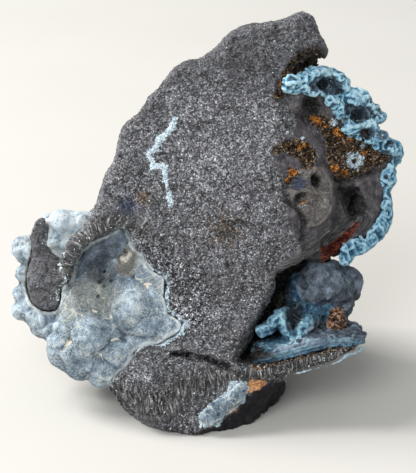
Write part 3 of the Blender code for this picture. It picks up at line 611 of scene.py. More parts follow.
    def tilted(self, grain_colour, amount, normal):
        """The normal, leaning a random way on each grain."""
        lean = self.vector("SCALE", self.vector("SUBTRACT", grain_colour, (0.5, 0.5, 0.5)), scale=amount)
        return self.vector("NORMALIZE", self.vector("ADD", lean, normal))

    def bump(self, height, reach):
        """A normal from a height whose full span is that many millimetres."""
        node = self.nodes.new("ShaderNodeBump")
        node.inputs["Distance"].default_value = reach * MM
        self.feed(node.inputs["Height"], height)
        return node.outputs["Normal"]

    def finish(self, colour, roughness, normal):
        for name, value in (("Base Color", colour), ("Roughness", roughness), ("Normal", normal)):
            self.feed(self.shader.inputs[name], value)
        return self.material


def granular_grey(look, grain_and_glint):
    """The rock's grey: mid grains, some black, a few bright, in clouds of lighter and darker stone."""
    # The lightest grains are painted glints; the rest are the stone's own grey and black grains.
    grey = look.ramp(grain_and_glint, [
        (0.10, (0.007, 0.007, 0.009)), (0.32, (0.032, 0.033, 0.036)), (0.50, (0.100, 0.102, 0.110)),
        (0.66, (0.19, 0.193, 0.207)), (0.82, (0.42, 0.43, 0.46)), (0.94, (0.80, 0.83, 0.88)),
    ])
    tint = look.ramp(look.cloud(11.0, 5.0, 0.6), [
        (0.30, (0.56, 0.55, 0.57)), (0.52, (0.98, 0.97, 0.98)), (0.70, (1.30, 1.29, 1.32)),
    ])
    grey = look.mix(1.0, grey, tint, "MULTIPLY")
    patches = look.ramp(look.cloud(2.4, 4.0, 0.65), [(0.34, 0.62), (0.5, 1.0), (0.64, 1.35)])
    return look.mix(0.5, grey, patches, "MULTIPLY")


def rock_look():
    """The rock: sparkling grey grains, brown and rusty places, a smooth side and a dark foot."""
    look = Look("granular_rock", specular=0.30, metallic=0.12)
    grain = look.grains(0.30)
    fine = look.grains(0.17)
    broad_share, _, _ = look.parts_of(look.grains(0.75))
    grain_share, grain_kind, grain_gloss = look.parts_of(grain)
    fine_share, fine_kind, _ = look.parts_of(fine)
    contrast = look.value("contrast")
    mixed = look.plus(look.times(grain_share, 0.50), look.times(fine_share, 0.40))
    mixed = look.plus(mixed, look.times(broad_share, 0.10))
    # The stored lightness lifts the grains in a painted pool of light on the face.
    grain_and_glint = look.plus(look.times(look.calc("SUBTRACT", mixed, 0.5), contrast), look.value("lightness"))
    look.colour = granular_grey(look, grain_and_glint)
    long_cracks = look.times(look.cracks(9.0, 0.26), look.patches(7.0, 0.46, 0.58, 0.85))
    short_places = look.patches(4.0, 0.56, 0.64, 0.8)
    short_cracks = look.times(look.cracks(3.6, 0.20), short_places)
    look.coat(look.calc("MAXIMUM", long_cracks, short_cracks), (0.012, 0.010, 0.010))
    streak = look.stripes("across", 0.32)
    streaked = look.ramp(streak, [(0.34, 0.003), (0.48, 0.035), (0.60, 0.16), (0.72, 0.60)])
    look.coat(look.times(look.value("columns"), 0.85), streaked)
    # The broken side: smooth grey and mauve, with drawn-out lines under the lump.
    wisps = look.cloud(2.0, 7.0, 0.72)
    side_colour = look.ramp(wisps, [
        (0.28, (0.010, 0.009, 0.010)), (0.44, (0.042, 0.037, 0.041)), (0.56, (0.095, 0.086, 0.093)),
        (0.70, (0.23, 0.215, 0.22)),
    ])
    side = look.value("side")
    look.coat(look.times(side, 0.88), side_colour)
    lump_colour = look.ramp(look.plus(look.times(wisps, 0.7), look.times(fine_share, 0.3)), [
        (0.30, (0.03, 0.028, 0.026)), (0.52, (0.13, 0.12, 0.115)), (0.72, (0.33, 0.31, 0.29)),
    ])
    look.coat(look.value("lump"), lump_colour)
    flow = look.stripes("flow", 0.30)
    flow_colour = look.ramp(flow, [(0.36, 0.010), (0.52, 0.055), (0.66, 0.24)])
    look.coat(look.times(look.value("flowing"), 0.75), flow_colour)
    ridge = look.ragged("ridge", look.cloud(0.9, 3.0, 0.6), 1.8, 0.3, 0.9)
    look.coat(look.times(ridge, 0.55), (0.24, 0.22, 0.20))
    brown_grain = look.ramp(grain_kind, [
        (0.0, (0.003, 0.002, 0.002)), (0.44, (0.012, 0.008, 0.006)), (0.62, (0.05, 0.028, 0.014)),
        (0.80, (0.17, 0.10, 0.05)), (0.95, (0.42, 0.34, 0.26)),
    ])
    ragged = look.cloud(0.9, 3.0, 0.65)
    fine_ragged = look.cloud(0.5, 3.0, 0.7)
    look.coat(look.ragged("brown", ragged, 1.6, 0.35, 0.6), brown_grain)
    speckles = look.times(look.value("brown"), look.patches(1.0, 0.62, 0.68, 0.7))
    rust = look.calc("MAXIMUM", look.ragged("rust", fine_ragged, 1.5, 0.24, 0.40), speckles)
    rust_grain = look.ramp(fine_share, [
        (0.15, (0.03, 0.008, 0.003)), (0.45, (0.32, 0.10, 0.012)), (0.85, (0.80, 0.34, 0.06)),
    ])
    look.coat(rust, rust_grain)
    red = look.ragged("red", ragged, 1.6, 0.3, 0.6)
    red_grain = look.ramp(grain_share, [(0.3, (0.016, 0.003, 0.003)), (0.8, (0.20, 0.035, 0.016))])
    look.coat(red, red_grain)
    # Dark grains on the dark mark: dark lines and spots, and painted shade in holes and the right cave.
    dark_grain = look.ramp(grain_and_glint, [(0.3, 0.0015), (0.6, 0.008), (0.9, 0.10)])
    look.coat(look.value("dark"), dark_grain)
    for stain, stain_colour in (("tint", (0.95, 0.66, 0.40)), ("bluish", (0.40, 0.52, 0.85))):
        stained = look.mix(1.0, look.colour, stain_colour, "MULTIPLY")
        look.coat(look.value(stain), stained)
    foot = look.value("foot")
    foot_colour = look.ramp(look.cloud(1.6, 6.0, 0.62), [
        (0.32, (0.002, 0.002, 0.003)), (0.56, (0.008, 0.007, 0.010)), (0.74, (0.050, 0.046, 0.055)),
    ])
    look.coat(foot, foot_colour)
    clay = look.ragged("clay", ragged, 1.4, 0.35, 0.5)
    clay_colour = look.ramp(look.cloud(0.5), [
        (0.3, (0.20, 0.08, 0.03)), (0.5, (0.50, 0.23, 0.09)), (0.7, (0.72, 0.45, 0.27)),
    ])
    look.coat(clay, clay_colour)
    pale = look.ragged("pale", fine_ragged, 1.7, 0.34, 0.50)
    pale_colour = look.ramp(fine_kind, [
        (0.05, (0.16, 0.28, 0.36)), (0.5, (0.46, 0.60, 0.68)), (0.95, (0.86, 0.90, 0.92)),
    ])
    look.coat(pale, pale_colour)
    off_side = look.calc("SUBTRACT", 1.0, look.times(side, 0.8))
    sparkling = look.times(off_side, look.calc("SUBTRACT", 1.0, foot))
    lean = look.calc("MULTIPLY_ADD", sparkling, 0.85, 0.10)
    normal = look.tilted(grain, lean, look.bump(look.cloud(1.2, 7.0, 0.72), 0.40))
    roughness = look.plus(look.times(grain_gloss, 0.28), look.span(sparkling, 0, 1, 0.55, 0.27))
    return look.finish(look.colour, roughness, normal)


def shaded(colour, share):
    return tuple(share * part for part in colour)


def crust_look(name, tones, rim, flecks=0.6, cream=0.6):
    """A velvety crust: painted darker in hollows, lighter on crests, flecked, with a thin pale rim against
    the rock.

    tones are the deep, middle and light colours, and the slate, laid as painted shading in its recesses
    and hollows and as the real colour of its slate-grey places. flecks and cream are how strongly its dark
    and its pale flecks show.
    """
    deep, middle, light, slate = tones
    look = Look(name, specular=0.2)
    clouds = look.cloud(5.0, 4.0, 0.6)
    fuzz = look.cloud(0.30, 4.0, 0.75)
    mottle = look.cloud(1.1, 4.0, 0.65)
    tone = look.plus(look.centred(clouds, 0.75), look.centred(fuzz, 0.9))
    tone = look.plus(tone, look.centred(mottle, 0.55))
    # Painted light and shade: the tone rises on crests and sinks in hollows with the stored relief.
    tone = look.plus(look.plus(tone, look.times(look.value("crest"), 0.6)), 0.5)
    look.colour = look.ramp(tone, [(0.24, deep), (0.50, middle), (0.78, light)])
    fleck_kind, fleck_number, _ = look.parts_of(look.grains(0.26))
    dark_places = look.patches(2.2, 0.44, 0.58, flecks)
    dark_fleck = look.times(look.span(fleck_kind, 0.74, 0.84), dark_places)
    look.coat(dark_fleck, shaded(deep, 0.22))
    cream_places = look.patches(3.0, 0.46, 0.60, cream)
    cream_fleck = look.times(look.span(fleck_number, 0.82, 0.92), cream_places)
    look.coat(cream_fleck, rim)
    wobble = look.centred(look.cloud(0.8, 4.0, 0.7), 0.9)
    olive = look.ramp(fuzz, [
        (0.32, (0.055, 0.062, 0.055)), (0.5, (0.19, 0.205, 0.185)), (0.68, (0.44, 0.45, 0.38)),
    ])
    look.coat(look.times(look.value("olive"), 0.7), olive)
    slate_tone = look.plus(look.times(fuzz, 0.35), look.times(look.cloud(2.6, 5.0, 0.68), 0.65))
    # The slate is painted lighter on crests too.
    slate_tone = look.plus(slate_tone, look.times(look.value("crest"), 0.22))
    slate_stops = [(0.38, shaded(slate, 0.25)), (0.50, slate), (0.62, shaded(slate, 2.3))]
    slate_colour = look.ramp(slate_tone, slate_stops)
    # Slate on the stored slate mark: painted shade in recesses and hollows, real slate-grey on lumps and
    # dots.
    look.coat(look.span(look.plus(look.value("shade"), wobble), 0.3, 0.7), slate_colour)
    tan = look.ramp(fuzz, [
        (0.3, (0.05, 0.05, 0.048)), (0.5, (0.20, 0.20, 0.185)), (0.7, (0.44, 0.43, 0.38)),
    ])
    look.coat(look.span(look.plus(look.value("tan"), wobble), 0.3, 0.6), tan)
    band_stops = [(0.36, slate), (0.5, middle), (0.62, shaded(rim, 0.85))]
    bands = look.ramp(look.stripes("across", 0.34), band_stops)
    look.coat(look.times(look.value("banded"), 0.85), bands)
    pitch = look.ramp(mottle, [(0.4, (0.002, 0.002, 0.003)), (0.7, (0.05, 0.04, 0.035))])
    look.coat(look.value("black"), pitch)
    network_places = look.patches(3.4, 0.46, 0.62, 0.9 * cream)
    network = look.times(look.cracks(2.6, 0.20), network_places)
    network = look.times(network, look.calc("SUBTRACT", 1.0, look.value("shade")))
    look.coat(network, rim)
    line = look.span(look.plus(look.value("line"), look.centred(look.cloud(0.5), 1.4)), 0.42, 0.62)
    look.coat(line, rim)
    uneven = look.centred(look.cloud(1.4, 4.0, 0.7), 2.4)
    edge = look.span(look.plus(look.value("rim"), uneven), 0.20, 1.1, 1.0, 0.0)
    look.coat(edge, tuple(0.5 * (part + tint) for part, tint in zip(rim, EDGE_TINT)))
    height = look.plus(fuzz, look.times(look.cloud(0.8, 4.0, 0.65), 1.2))
    return look.finish(look.colour, look.plus(0.6, look.times(fuzz, 0.25)), look.bump(height, 0.26))


def distance_from(node, places):
    """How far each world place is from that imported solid, in millimetres."""
    bm = bmesh.new()
    bm.from_mesh(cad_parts[node].data)
    tree = BVHTree.FromBMesh(bm)
    bm.free()
    return np.array([tree.find_nearest(Vector(place))[3] for place in places]) / MM


def shape_rock(mesh):
    """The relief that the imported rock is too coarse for."""
    face, seen = face_and_seen(mesh)
    front = step(face[:, 2], *FRONT_DEPTHS)
    side = region(seen, SIDE) * front
    foot = region(seen, BLACK_FOOT) * step(face[:, 2], *FOOT_DEPTHS)
    _, _, facet = cells(face, 1.0, 1)
    coarse = region(seen, COARSE_ZONE, 2.0) * front
    columns = column_zones(seen)
    height = (facet - 0.5) * (0.12 + 0.40 * coarse) * (1 - 0.5 * side) * (1 - 0.7 * foot) * (1 - columns)
    _, _, column = cells(np.column_stack([seen[:, 0], seen[:, 1] * 0.16, face[:, 2] * 0.5]), 0.62, 10)
    height += (column - 0.5) * 0.5 * near(to_line(seen, JAW_BAND), JAW_REACH) * front * (1 - foot)
    height += bumps(face, 4.5, 2) * 0.30 + bumps(face, 1.7, 3) * 0.18
    height += bumps(face, 0.7, 4) * 0.14 * (1 - 0.6 * foot)
    brown = regions(seen, BROWN_ZONES) * front
    _, _, brown_facet = cells(face, 0.8, 5)
    height += brown * (brown_facet - 0.4) * 0.8
    height += (1 - front) * bumps(face, 7.0, 6) * 0.7
    height += foot * (bumps(face, 2.4, 16) * 0.7 + bumps(face, 5.0, 17) * 0.6)
    height -= 2.4 * regions(seen, HOLES, 0.5) * front + 0.5 * region(seen, SLATE_SPOT, 0.5) * front
    height -= 1.3 * near(to_lines(seen, BLACK_LINES[:2]), 0.8) * front
    height -= 2.2 * near(to_line(seen, BLACK_LINES[2]), 0.75) * front
    ridges = near(to_lines(seen, LUMP_RIDGES), 0.7)
    height += 0.7 * region(seen, LUMP, 1.2) * front + 0.5 * ridges * front
    from_flow = to_line(seen, FLOW_LINE)
    wave = np.sin(from_flow * 4.2 + 1.6 * bumps(face, 3.0, 7))
    height += 0.22 * wave * near(from_flow, 7.0) * side
    pit, pit_wave = pit_waves(seen)
    on_face = step(face[:, 2], *FACE_DEPTHS)
    pit_rays = 0.30 * pit_wave * step(pit, 0.5, 2)
    height += near(pit, 4.6) * on_face * (pit_rays - 0.35)
    height += 0.25 * near(to_line(seen, VEIN), 0.8) * on_face
    push(mesh, height)


def make_rock():
    mesh = refined("rock", growth=0.0, voxel=0.50, rounds=3)
    shape_rock(mesh)
    face, seen = face_and_seen(mesh)
    front = step(face[:, 2], *FRONT_DEPTHS)
    side = region(seen, SIDE) * front
    foot = region(seen, BLACK_FOOT, 0.4) * step(face[:, 2], *FOOT_DEPTHS)
    claw = near(to_line(seen, CLAW_ARCH), 3.6) > 0.02
    claw_turn = np.arctan2(seen[:, 1] - CLAW_MIDDLE[1], seen[:, 0] - CLAW_MIDDLE[0])
    columns = column_zones(seen)
    vein_width = np.maximum(0.9 + 1.3 * bumps(face, 2.4, 8) + 0.5 * bumps(face, 0.5, 9), 0.5)
    vein = 1 - to_line(seen, VEIN) / vein_width
    ring_middle, ring_radius, ring_width = PALE_RING
    bent = wavered(seen, face, 0.9, 17, 0.8)
    ring = 1 - np.abs(to_point(bent, ring_middle) - ring_radius) / (2 * ring_width)
    facing = step(vertex_array(mesh, "normal") @ OUT_OF_FACE, 0.35, 0.6)
    seam = 1.1 * near(to_line(bent, CLAW_SEAM), 0.7) * facing
    blue_foot = region(seen, BLUE_FOOT, 0.5)
    on_face = step(face[:, 2], *FACE_DEPTHS)
    from_crust = distance_from("left_crust", vertex_array(mesh, "co")) - 0.6
    fringe = np.clip(1.0 - from_crust / (1.4 + 1.0 * bumps(face, 1.6, 20)), 0, 0.80)
    on_front = np.max([vein, fringe, seam], axis=0) * on_face
    pale = np.max([on_front, spots(seen, PALE_SPOTS), ring, blue_foot * 0.9], axis=0)
    pit, pit_wave = pit_waves(seen)
    rays = np.clip(0.55 + 0.6 * pit_wave, 0, 1)
    patch = region(seen, DARK_PATCH, 0.4)
    coarse = region(seen, COARSE_ZONE, 2.0)
    high = step(seen[:, 1], 66, 76)
    low = step(-seen[:, 1], -14.0, -9.0)
    # Dark lines, pit gaps and a pocket, with painted shade in the holes and deep in the right cave.
    dark = np.max([
        region(seen, DARK_POCKET, 0.8) * 0.75,
        near(to_lines(seen, BLACK_LINES), 0.55),
        regions(seen, HOLES, 0.35),
        near(pit, 4.2) * (1 - rays) * 0.75,
        near(to_line(seen, FAINT_LINE), 0.7) * 0.6,
        step(-face[:, 2], 4.0, 7.0) * region(seen, RIGHT_CAVE, 1.5),
    ], axis=0) * front
    bluish = np.maximum(near(to_point(seen, BLUISH_SPOT), 3.0), region(seen, SLATE_SPOT, 0.4))
    across = np.where(claw, claw_turn * 9.0, seen[:, 0] + 0.12 * seen[:, 1])
    mark(
        mesh,
        side=side * (1 - regions(seen, BROWN_ZONES)),
        foot=foot,
        brown=np.maximum(regions(seen, BROWN_ZONES, 0.9), near(to_line(seen, LEDGE_CORE), 2.1)) * front,
        rust=spots(seen, RUST_SPOTS) * front,
        red=region(seen, RED_STREAK, 0.5) * front,
        pale=pale * front,
        clay=regions(seen, CLAY, 0.4) * front,
        lump=region(seen, LUMP, 0.8) * front * 0.9,
        ridge=near(to_lines(seen, LUMP_RIDGES), 0.55) * front,
        flow=to_line(seen, FLOW_LINE) * 1.4,
        flowing=near(to_line(seen, FLOW_LINE), 6.0) * side,
        tint=np.maximum(near(pit, 6.0) * rays * 0.9, near(to_point(seen, RUST_TINT), 2.4)) * on_face,
        bluish=bluish * front,
        dark=dark,
        contrast=1.0 + 0.55 * coarse + 0.35 * columns - 0.45 * patch - 0.2 * high,
        # Painted light: lighter grains in a pool around the face's middle; a little darker towards the
        # bottom.
        lightness=0.472 + 0.105 * near(to_point(seen, PAINTED_LIGHT_MIDDLE), 24.0) - 0.03 * low,
        columns=columns * front * (1 - foot) * (1 - blue_foot),
        across=across + 0.7 * bumps(face, 3.0, 19),
    )
    return put(mesh, "rock", rock_look(), smooth=False)


def crests(mesh, gain=2.2, lowest=-0.6):
    """How much each vertex stands out, by which a crust is painted lighter on crests, darker in hollows.
    """
    return np.clip(relief(mesh) * gain, lowest, 0.6)


def crust_marks(mesh, **given):
    """Stores the marks that a crust's material reads; one that isn't given gets its usual value or 0."""
    if "crest" not in given:
        given["crest"] = crests(mesh)
    if "rim" not in given:
        given["rim"] = distance_from("rock", vertex_array(mesh, "co"))
    nothing = np.zeros(len(mesh.vertices))
    mark(mesh, **{name: given.get(name, nothing) for name in CRUST_MARKS})


def make_left_crust():
    mesh = refined("left_crust", growth=0.55, voxel=0.30, rounds=3)
    face, seen = face_and_seen(mesh)
    recess = region(seen, LEFT_RECESS, 1.0)
    bowl = near(to_point(seen, BOWL_MIDDLE), 7.5)
    round_top, _, _ = cells(face, 2.2, 11)
    small_top, _, _ = cells(face, 0.9, 12)
    height = (1 - recess) * (0.24 * np.clip(round_top, 0, 1) + 0.10 * np.clip(small_top, 0, 1)) - 0.30
    lift = dome_lift(wavered(seen, face, 3.0, 14, 0.7), DOMES, 0.21)
    height += lift + 0.09 * bumps(face, 0.6, 13) - 0.25 * near(to_lines(seen, STALAGMITES), 0.8)
    push(mesh, height)
    places = vertex_array(mesh, "co")
    places += (smoothed(mesh, places, 90) - places) * np.maximum(recess, bowl)[:, None]
    push(mesh, np.zeros(len(places)), places)
    face = in_face_frame(places)
    seen = as_seen(face)
    groove = np.clip(-relief(mesh, 25) * 3.0, 0, 1) * step(bumps(face, 2.2, 16), -0.1, 0.35)
    crust_marks(
        mesh,
        # Painted shade: slate in the recess under the arch and around the stalagmites in it.
        shade=np.maximum(recess, 0.8 * near(to_lines(seen, STALAGMITES), 1.3)),
        tan=region(seen, TAN_PATCH, 0.8),
        olive=region(seen, OLIVE_ZONE, 2.0),
        banded=0.75 * region(seen, FAN, 1.0),
        across=to_point(seen, FAN_MIDDLE) * 1.6,
        black=np.clip(1.6 * spots(seen, RECESS_DOTS), 0, 0.85),
        line=0.95 * groove * (1 - recess) * (1 - bowl),
        rim=distance_from("rock", places) + 6.0 * near(to_point(seen, BOWL_MIDDLE), 6.5),
        # Painted light and shade from the relief, lifted on the real lighter crust at the top.
        crest=crests(mesh) + 0.45 * region(seen, TOP_CRUST, 1.5),
    )
    tones = (0.060, 0.085, 0.115), (0.205, 0.270, 0.325), (0.50, 0.585, 0.645), (0.105, 0.130, 0.160)
    material = crust_look("pale_crust", tones, (0.64, 0.61, 0.52))
    put(mesh, "left_crust", material)


def make_upper_crust():
    mesh = refined("upper_crust", growth=0.5, voxel=0.24, rounds=1)
    face, seen = face_and_seen(mesh)
    bent = wavered(face, face, 1.8, 24, 1.6)
    _, from_edge, number = cells(bent, 3.2, 21)
    _, fine_edge, _ = cells(bent, 1.1, 22)
    bent_seen = wavered(seen, face, 1.3, 27, 1.1)
    rims = near(to_lines(bent_seen, UPPER_RIMS), 0.9)
    hollow = np.clip(1.8 * spots(seen, UPPER_HOLLOWS), 0, 1)
    pit = step(from_edge, 0.04, 0.45)
    height = 0.25 - 0.75 * pit * (1 - rims) * (1 - hollow) - 0.55 * hollow
    height += 0.15 * rims - 0.14 * step(fine_edge, 0.05, 0.5)
    push(mesh, height + 0.22 * bumps(face, 0.9, 23))
    face, seen = face_and_seen(mesh)
    slate_pit = pit * step(number, 0.45, 0.7)
    crust_marks(
        mesh,
        # Painted shade: slate in the hollows and in some pits, kept off the rims.
        shade=np.maximum(np.clip(hollow * 1.6, 0, 1), 0.75 * slate_pit) * (1 - rims),
        # Pale lines along the rims: partly real whitish crust, partly painted highlight.
        line=np.clip(near(from_edge, 0.14) * 0.36 + 0.50 * rims, 0, 0.8),
        rim=np.full(len(seen), NO_PALE_EDGE),
        # Painted light and shade from the relief, and lighter along the rims.
        crest=crests(mesh, 3.0, -0.9) - 0.12 + 0.15 * rims,
    )
    tones = (0.030, 0.095, 0.155), (0.13, 0.33, 0.48), (0.42, 0.67, 0.80), (0.075, 0.115, 0.155)
    material = crust_look("bright_crust", tones, (0.54, 0.78, 0.86), flecks=0.3, cream=0.25)
    put(mesh, "upper_crust", material)


def make_hollow_crust():
    mesh = refined("hollow_crust", growth=0.5, voxel=0.26, rounds=2)
    face, seen = face_and_seen(mesh)
    grey = region(seen, GREY_LUMPS, 1.0)
    curtain = near(to_lines(seen, CURTAIN_RIMS), 1.0)
    _, from_edge, _ = cells(face, 1.5, 31)
    height = 0.10 - 0.35 * step(from_edge, 0.1, 0.6) * (1 - grey) + 0.12 * curtain
    height += 0.12 * bumps(face, 0.5, 32)
    height += 0.55 * bumps(face, 1.4, 33) * (1 - grey) * step(seen[:, 1], 18.5, 20.5)
    band = to_line(seen, LEDGE_BAND)
    lift = dome_lift(wavered(seen, face, 2.0, 34, 0.8), GREY_DOMES, 0.22)
    height += (lift - 0.35) * grey
    push(mesh, height + 0.12 * np.sin(band * 7) * near(band, 2.2))
    face, seen = face_and_seen(mesh)
    band = to_line(seen, LEDGE_BAND)
    bent = wavered(seen, face, 1.2, 36, 1.2)
    curtain = near(to_lines(bent, CURTAIN_RIMS), 0.7)
    around = near(to_lines(seen, CURTAIN_RIMS), 2.2)
    crust_marks(
        mesh,
        # Slate here is the real colour of the grey lumps and the ledge's top.
        shade=np.clip(grey + 0.75 * region(bent, LEDGE_TOP, 0.6), 0, 1),
        line=0.60 * curtain + 0.35 * near(from_edge, 0.14) * (1 - grey) * (1 - curtain),
        # Painted light and shade from the relief, and lighter around the curtain's rims.
        crest=crests(mesh) + 0.42 * around - 0.12,
        banded=0.8 * near(band, 1.2),
        across=band * 2.4,
        # Black: painted shade in the gap under the jaw, a painted shadow deep on the cave's left, and the
        # brown pocket.
        black=np.max([
            region(seen, GAP_UNDER_JAW, 0.5),
            step(-face[:, 2], 7.0, 11.0) * step(-seen[:, 0], -18.0, -15.0),
            0.85 * region(bent, BROWN_POCKET, 0.5),
        ], axis=0),
        rim=np.full(len(seen), NO_PALE_EDGE),
    )
    tones = (0.012, 0.036, 0.070), (0.040, 0.105, 0.175), (0.17, 0.33, 0.44), (0.110, 0.138, 0.172)
    material = crust_look("dark_crust", tones, (0.34, 0.56, 0.64), flecks=0.3, cream=0.2)
    put(mesh, "hollow_crust", material)


def make_small_crusts():
    grey_blue = (0.045, 0.070, 0.100), (0.12, 0.165, 0.21), (0.31, 0.385, 0.44), (0.030, 0.045, 0.070)
    clear_blue = (0.045, 0.095, 0.135), (0.15, 0.28, 0.36), (0.40, 0.58, 0.66), (0.040, 0.055, 0.075)
    for node, growth, seed in SMALL_CRUSTS:
        mesh = refined(node, growth, voxel=0.30, rounds=2)
        face, seen = face_and_seen(mesh)
        top, from_edge, number = cells(face, 1.4, seed)
        push(mesh, 0.30 * np.clip(top, 0, 1) - 0.12 + 0.10 * bumps(face, 0.6, seed))
        on_foot = float(node == "foot_crust")
        clay = regions(seen, CLAY, 0.4) * on_foot
        tones = clear_blue if node == "ledge_rim" else grey_blue
        dots = step(top, 0.58, 0.70) * step(number, 0.3, 0.4) * on_foot
        # The slate dots on the foot crust are its real colour.
        crust_marks(mesh, line=0.5 * near(from_edge, 0.12), tan=clay, shade=dots)
        put(mesh, node, crust_look(node + "_look", tones, (0.62, 0.68, 0.66)))


def make_brown_crystal():
    mesh = refined("brown_crystal", growth=0.35, voxel=0.22, rounds=1)
    face = in_face_frame(vertex_array(mesh, "co"))
    _, _, number = cells(face, 0.9, 51)
    push(mesh, 0.5 * (number - 0.5))
    look = Look("rusty_crystal", specular=0.4)
    grain = look.grains(0.5)
    share, _, _ = look.parts_of(grain)
    colour = look.ramp(share, [
        (0.2, (0.020, 0.008, 0.006)), (0.5, (0.12, 0.060, 0.036)), (0.8, (0.36, 0.22, 0.14)),
    ])
    material = look.finish(colour, 0.45, look.tilted(grain, 0.5, look.bump(look.cloud(0.5), 0.2)))
    put(mesh, "brown_crystal", material, smooth=False)


def make_glints(rock):
    """Small crystals standing out of the rock's broken surface: four-cornered splinters, the lightest
    painted as glints.
    """
    dice = np.random.default_rng(GLINT_SEED)
    places = vertex_array(rock.data, "co")
    normals = vertex_array(rock.data, "normal")
    seen = as_seen(in_face_frame(places))
    wanted = 0.06 + 0.5 * region(seen, COARSE_ZONE, 2.0) + 0.5 * near(to_line(seen, JAW_BAND), JAW_REACH)
    wanted += 0.6 * near(to_line(seen, CLAW_ARCH), 4.0) + 0.35 * regions(seen, BROWN_ZONES)
    wanted *= 1 - 0.8 * region(seen, SIDE) * (1 - regions(seen, BROWN_ZONES))
    wanted *= 1 - region(seen, BLACK_FOOT)
    wanted *= 1 - 0.7 * region(seen, DARK_PATCH)
    wanted *= np.where(places[:, 2] < GLINT_FREE_HEIGHT * MM, 0, 1)
    chosen = dice.choice(len(places), GLINTS, replace=False, p=wanted / wanted.sum())
    sizes = dice.uniform(*GLINT_SIZES, GLINTS) * MM
    turn = dice.normal(size=(GLINTS, 3))
    turn += 1.2 * normals[chosen]
    turn /= np.linalg.norm(turn, axis=1)[:, None]
    across = np.cross(turn, dice.normal(size=(GLINTS, 3)))
    across /= np.linalg.norm(across, axis=1)[:, None]
    third = np.cross(turn, across)
    middles = places[chosen] + normals[chosen] * 0.05 * MM
    corners = np.empty((GLINTS, 4, 3))
    corners[:, 0] = middles + turn * (sizes * 1.5)[:, None]
    for index, angle in enumerate((0.0, math.tau / 3, 2 * math.tau / 3)):
        spoke = across * math.cos(angle) + third * math.sin(angle)
        corners[:, index + 1] = middles + spoke * sizes[:, None] * 0.9 - turn * (sizes * 0.5)[:, None]
    first = np.arange(GLINTS)[:, None] * 4
    splinter = (0, 1, 2), (0, 2, 3), (0, 3, 1), (1, 3, 2)
    faces = np.concatenate([first + np.array(corner_numbers) for corner_numbers in splinter])
    mesh = bpy.data.meshes.new("glints")
    mesh.from_pydata(corners.reshape(-1, 3).tolist(), [], faces.tolist())
    in_brown = regions(seen, BROWN_ZONES)[chosen]
    mark(mesh, tone=np.repeat(dice.random(GLINTS), 4), brown=np.repeat(in_brown, 4))
    look = Look("glinting_grains", specular=0.6, metallic=0.2)
    # The lightest grains are painted near white as glints; their gloss also catches real highlights.
    grey = look.ramp(look.value("tone"), [(0.0, 0.02), (0.6, 0.12), (0.9, 0.50), (1.0, 0.95)])
    brown = look.ramp(look.value("tone"), [
        (0.3, (0.01, 0.006, 0.004)), (0.8, (0.16, 0.07, 0.02)), (1.0, (0.6, 0.45, 0.3)),
    ])
    colour = look.mix(look.value("brown"), grey, brown)
    roughness = look.span(look.cloud(0.4), 0.3, 0.7, 0.18, 0.4)
    material = look.finish(colour, roughness, look.bump(look.cloud(0.15), 0.03))
    obj = add_object("rock_grains", mesh)
    mesh.materials.append(material)
    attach(obj, "root")


def make_floor():
    mesh = bpy.data.meshes.new("floor")
    half = 3.0
    corners = [(-half, -half, 0), (half, -half, 0), (half, half, 0), (-half, half, 0)]
    mesh.from_pydata(corners, [], [(0, 1, 2, 3)])
    floor = add_object("floor", mesh)
    look = Look("pale_board", specular=0.2)
    colour = look.ramp(look.cloud(60.0, 2.0), [(0.3, (0.50, 0.49, 0.46)), (0.7, (0.515, 0.505, 0.475))])
    mesh.materials.append(look.finish(colour, 0.6, look.bump(look.cloud(0.5, 2.0), 0.02)))


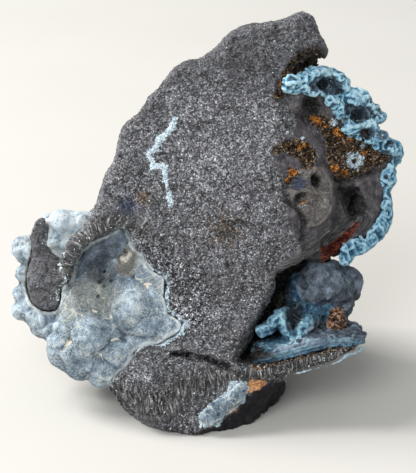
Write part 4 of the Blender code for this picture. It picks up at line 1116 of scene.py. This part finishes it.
def add_lamp(name, towards, distance, size, power, colour):
    """A square soft lamp that shines on the specimen from that direction."""
    light = bpy.data.lights.new(name, "AREA")
    light.size = size
    light.energy = power
    light.color = colour
    lamp = add_object(name, light)
    direction = Vector(towards).normalized()
    lamp.location = direction * distance + Vector(LAMP_AIM)
    lamp.rotation_euler = direction.to_track_quat("Z", "Y").to_euler()


def light_and_camera():
    """A pale studio with two lamps on the left, and the camera where the eye is."""
    scene = bpy.context.scene
    scene.view_settings.view_transform = "Standard"
    world = bpy.data.worlds.new("studio")
    world.use_nodes = True
    background = world.node_tree.nodes["Background"]
    background.inputs["Color"].default_value = (0.97, 0.98, 1.0, 1)
    background.inputs["Strength"].default_value = 0.52
    scene.world = world
    warm = (1.0, 0.985, 0.96)
    cool = (0.97, 0.985, 1.0)
    add_lamp("key", (-0.62, 0.20, 0.64), distance=0.9, size=0.40, power=12.5, colour=warm)
    add_lamp("front", (-0.35, -1.0, 0.75), distance=1.1, size=0.6, power=9.0, colour=cool)
    camera = bpy.data.cameras.new("camera")
    camera.sensor_fit = "VERTICAL"
    camera.sensor_height = SENSOR_HEIGHT
    camera.lens = SENSOR_HEIGHT * EYE_FAR / VIEW_HEIGHT
    camera.clip_start = 0.01
    eye = add_object("camera", camera)
    axes = Matrix((Vector((1, 0, 0)), Vector(UP_FACE), Vector(OUT_OF_FACE))).transposed()
    eye_place = (EYE_HEIGHT + CAMERA_LIFT) * UP_FACE + EYE_FAR * OUT_OF_FACE - BASE_MIDDLE
    eye.matrix_world = Matrix.Translation(Vector(eye_place * MM)) @ axes.to_4x4()
    scene.camera = eye


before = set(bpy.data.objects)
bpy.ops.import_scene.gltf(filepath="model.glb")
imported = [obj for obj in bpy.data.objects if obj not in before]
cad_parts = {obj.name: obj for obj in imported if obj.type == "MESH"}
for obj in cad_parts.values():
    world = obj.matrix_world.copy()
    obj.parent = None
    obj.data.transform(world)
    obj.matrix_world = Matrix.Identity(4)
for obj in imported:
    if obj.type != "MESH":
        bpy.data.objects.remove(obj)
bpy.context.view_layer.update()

rock_piece = make_rock()
make_left_crust()
make_upper_crust()
make_hollow_crust()
make_small_crusts()
make_brown_crystal()
make_glints(rock_piece)
make_floor()
light_and_camera()
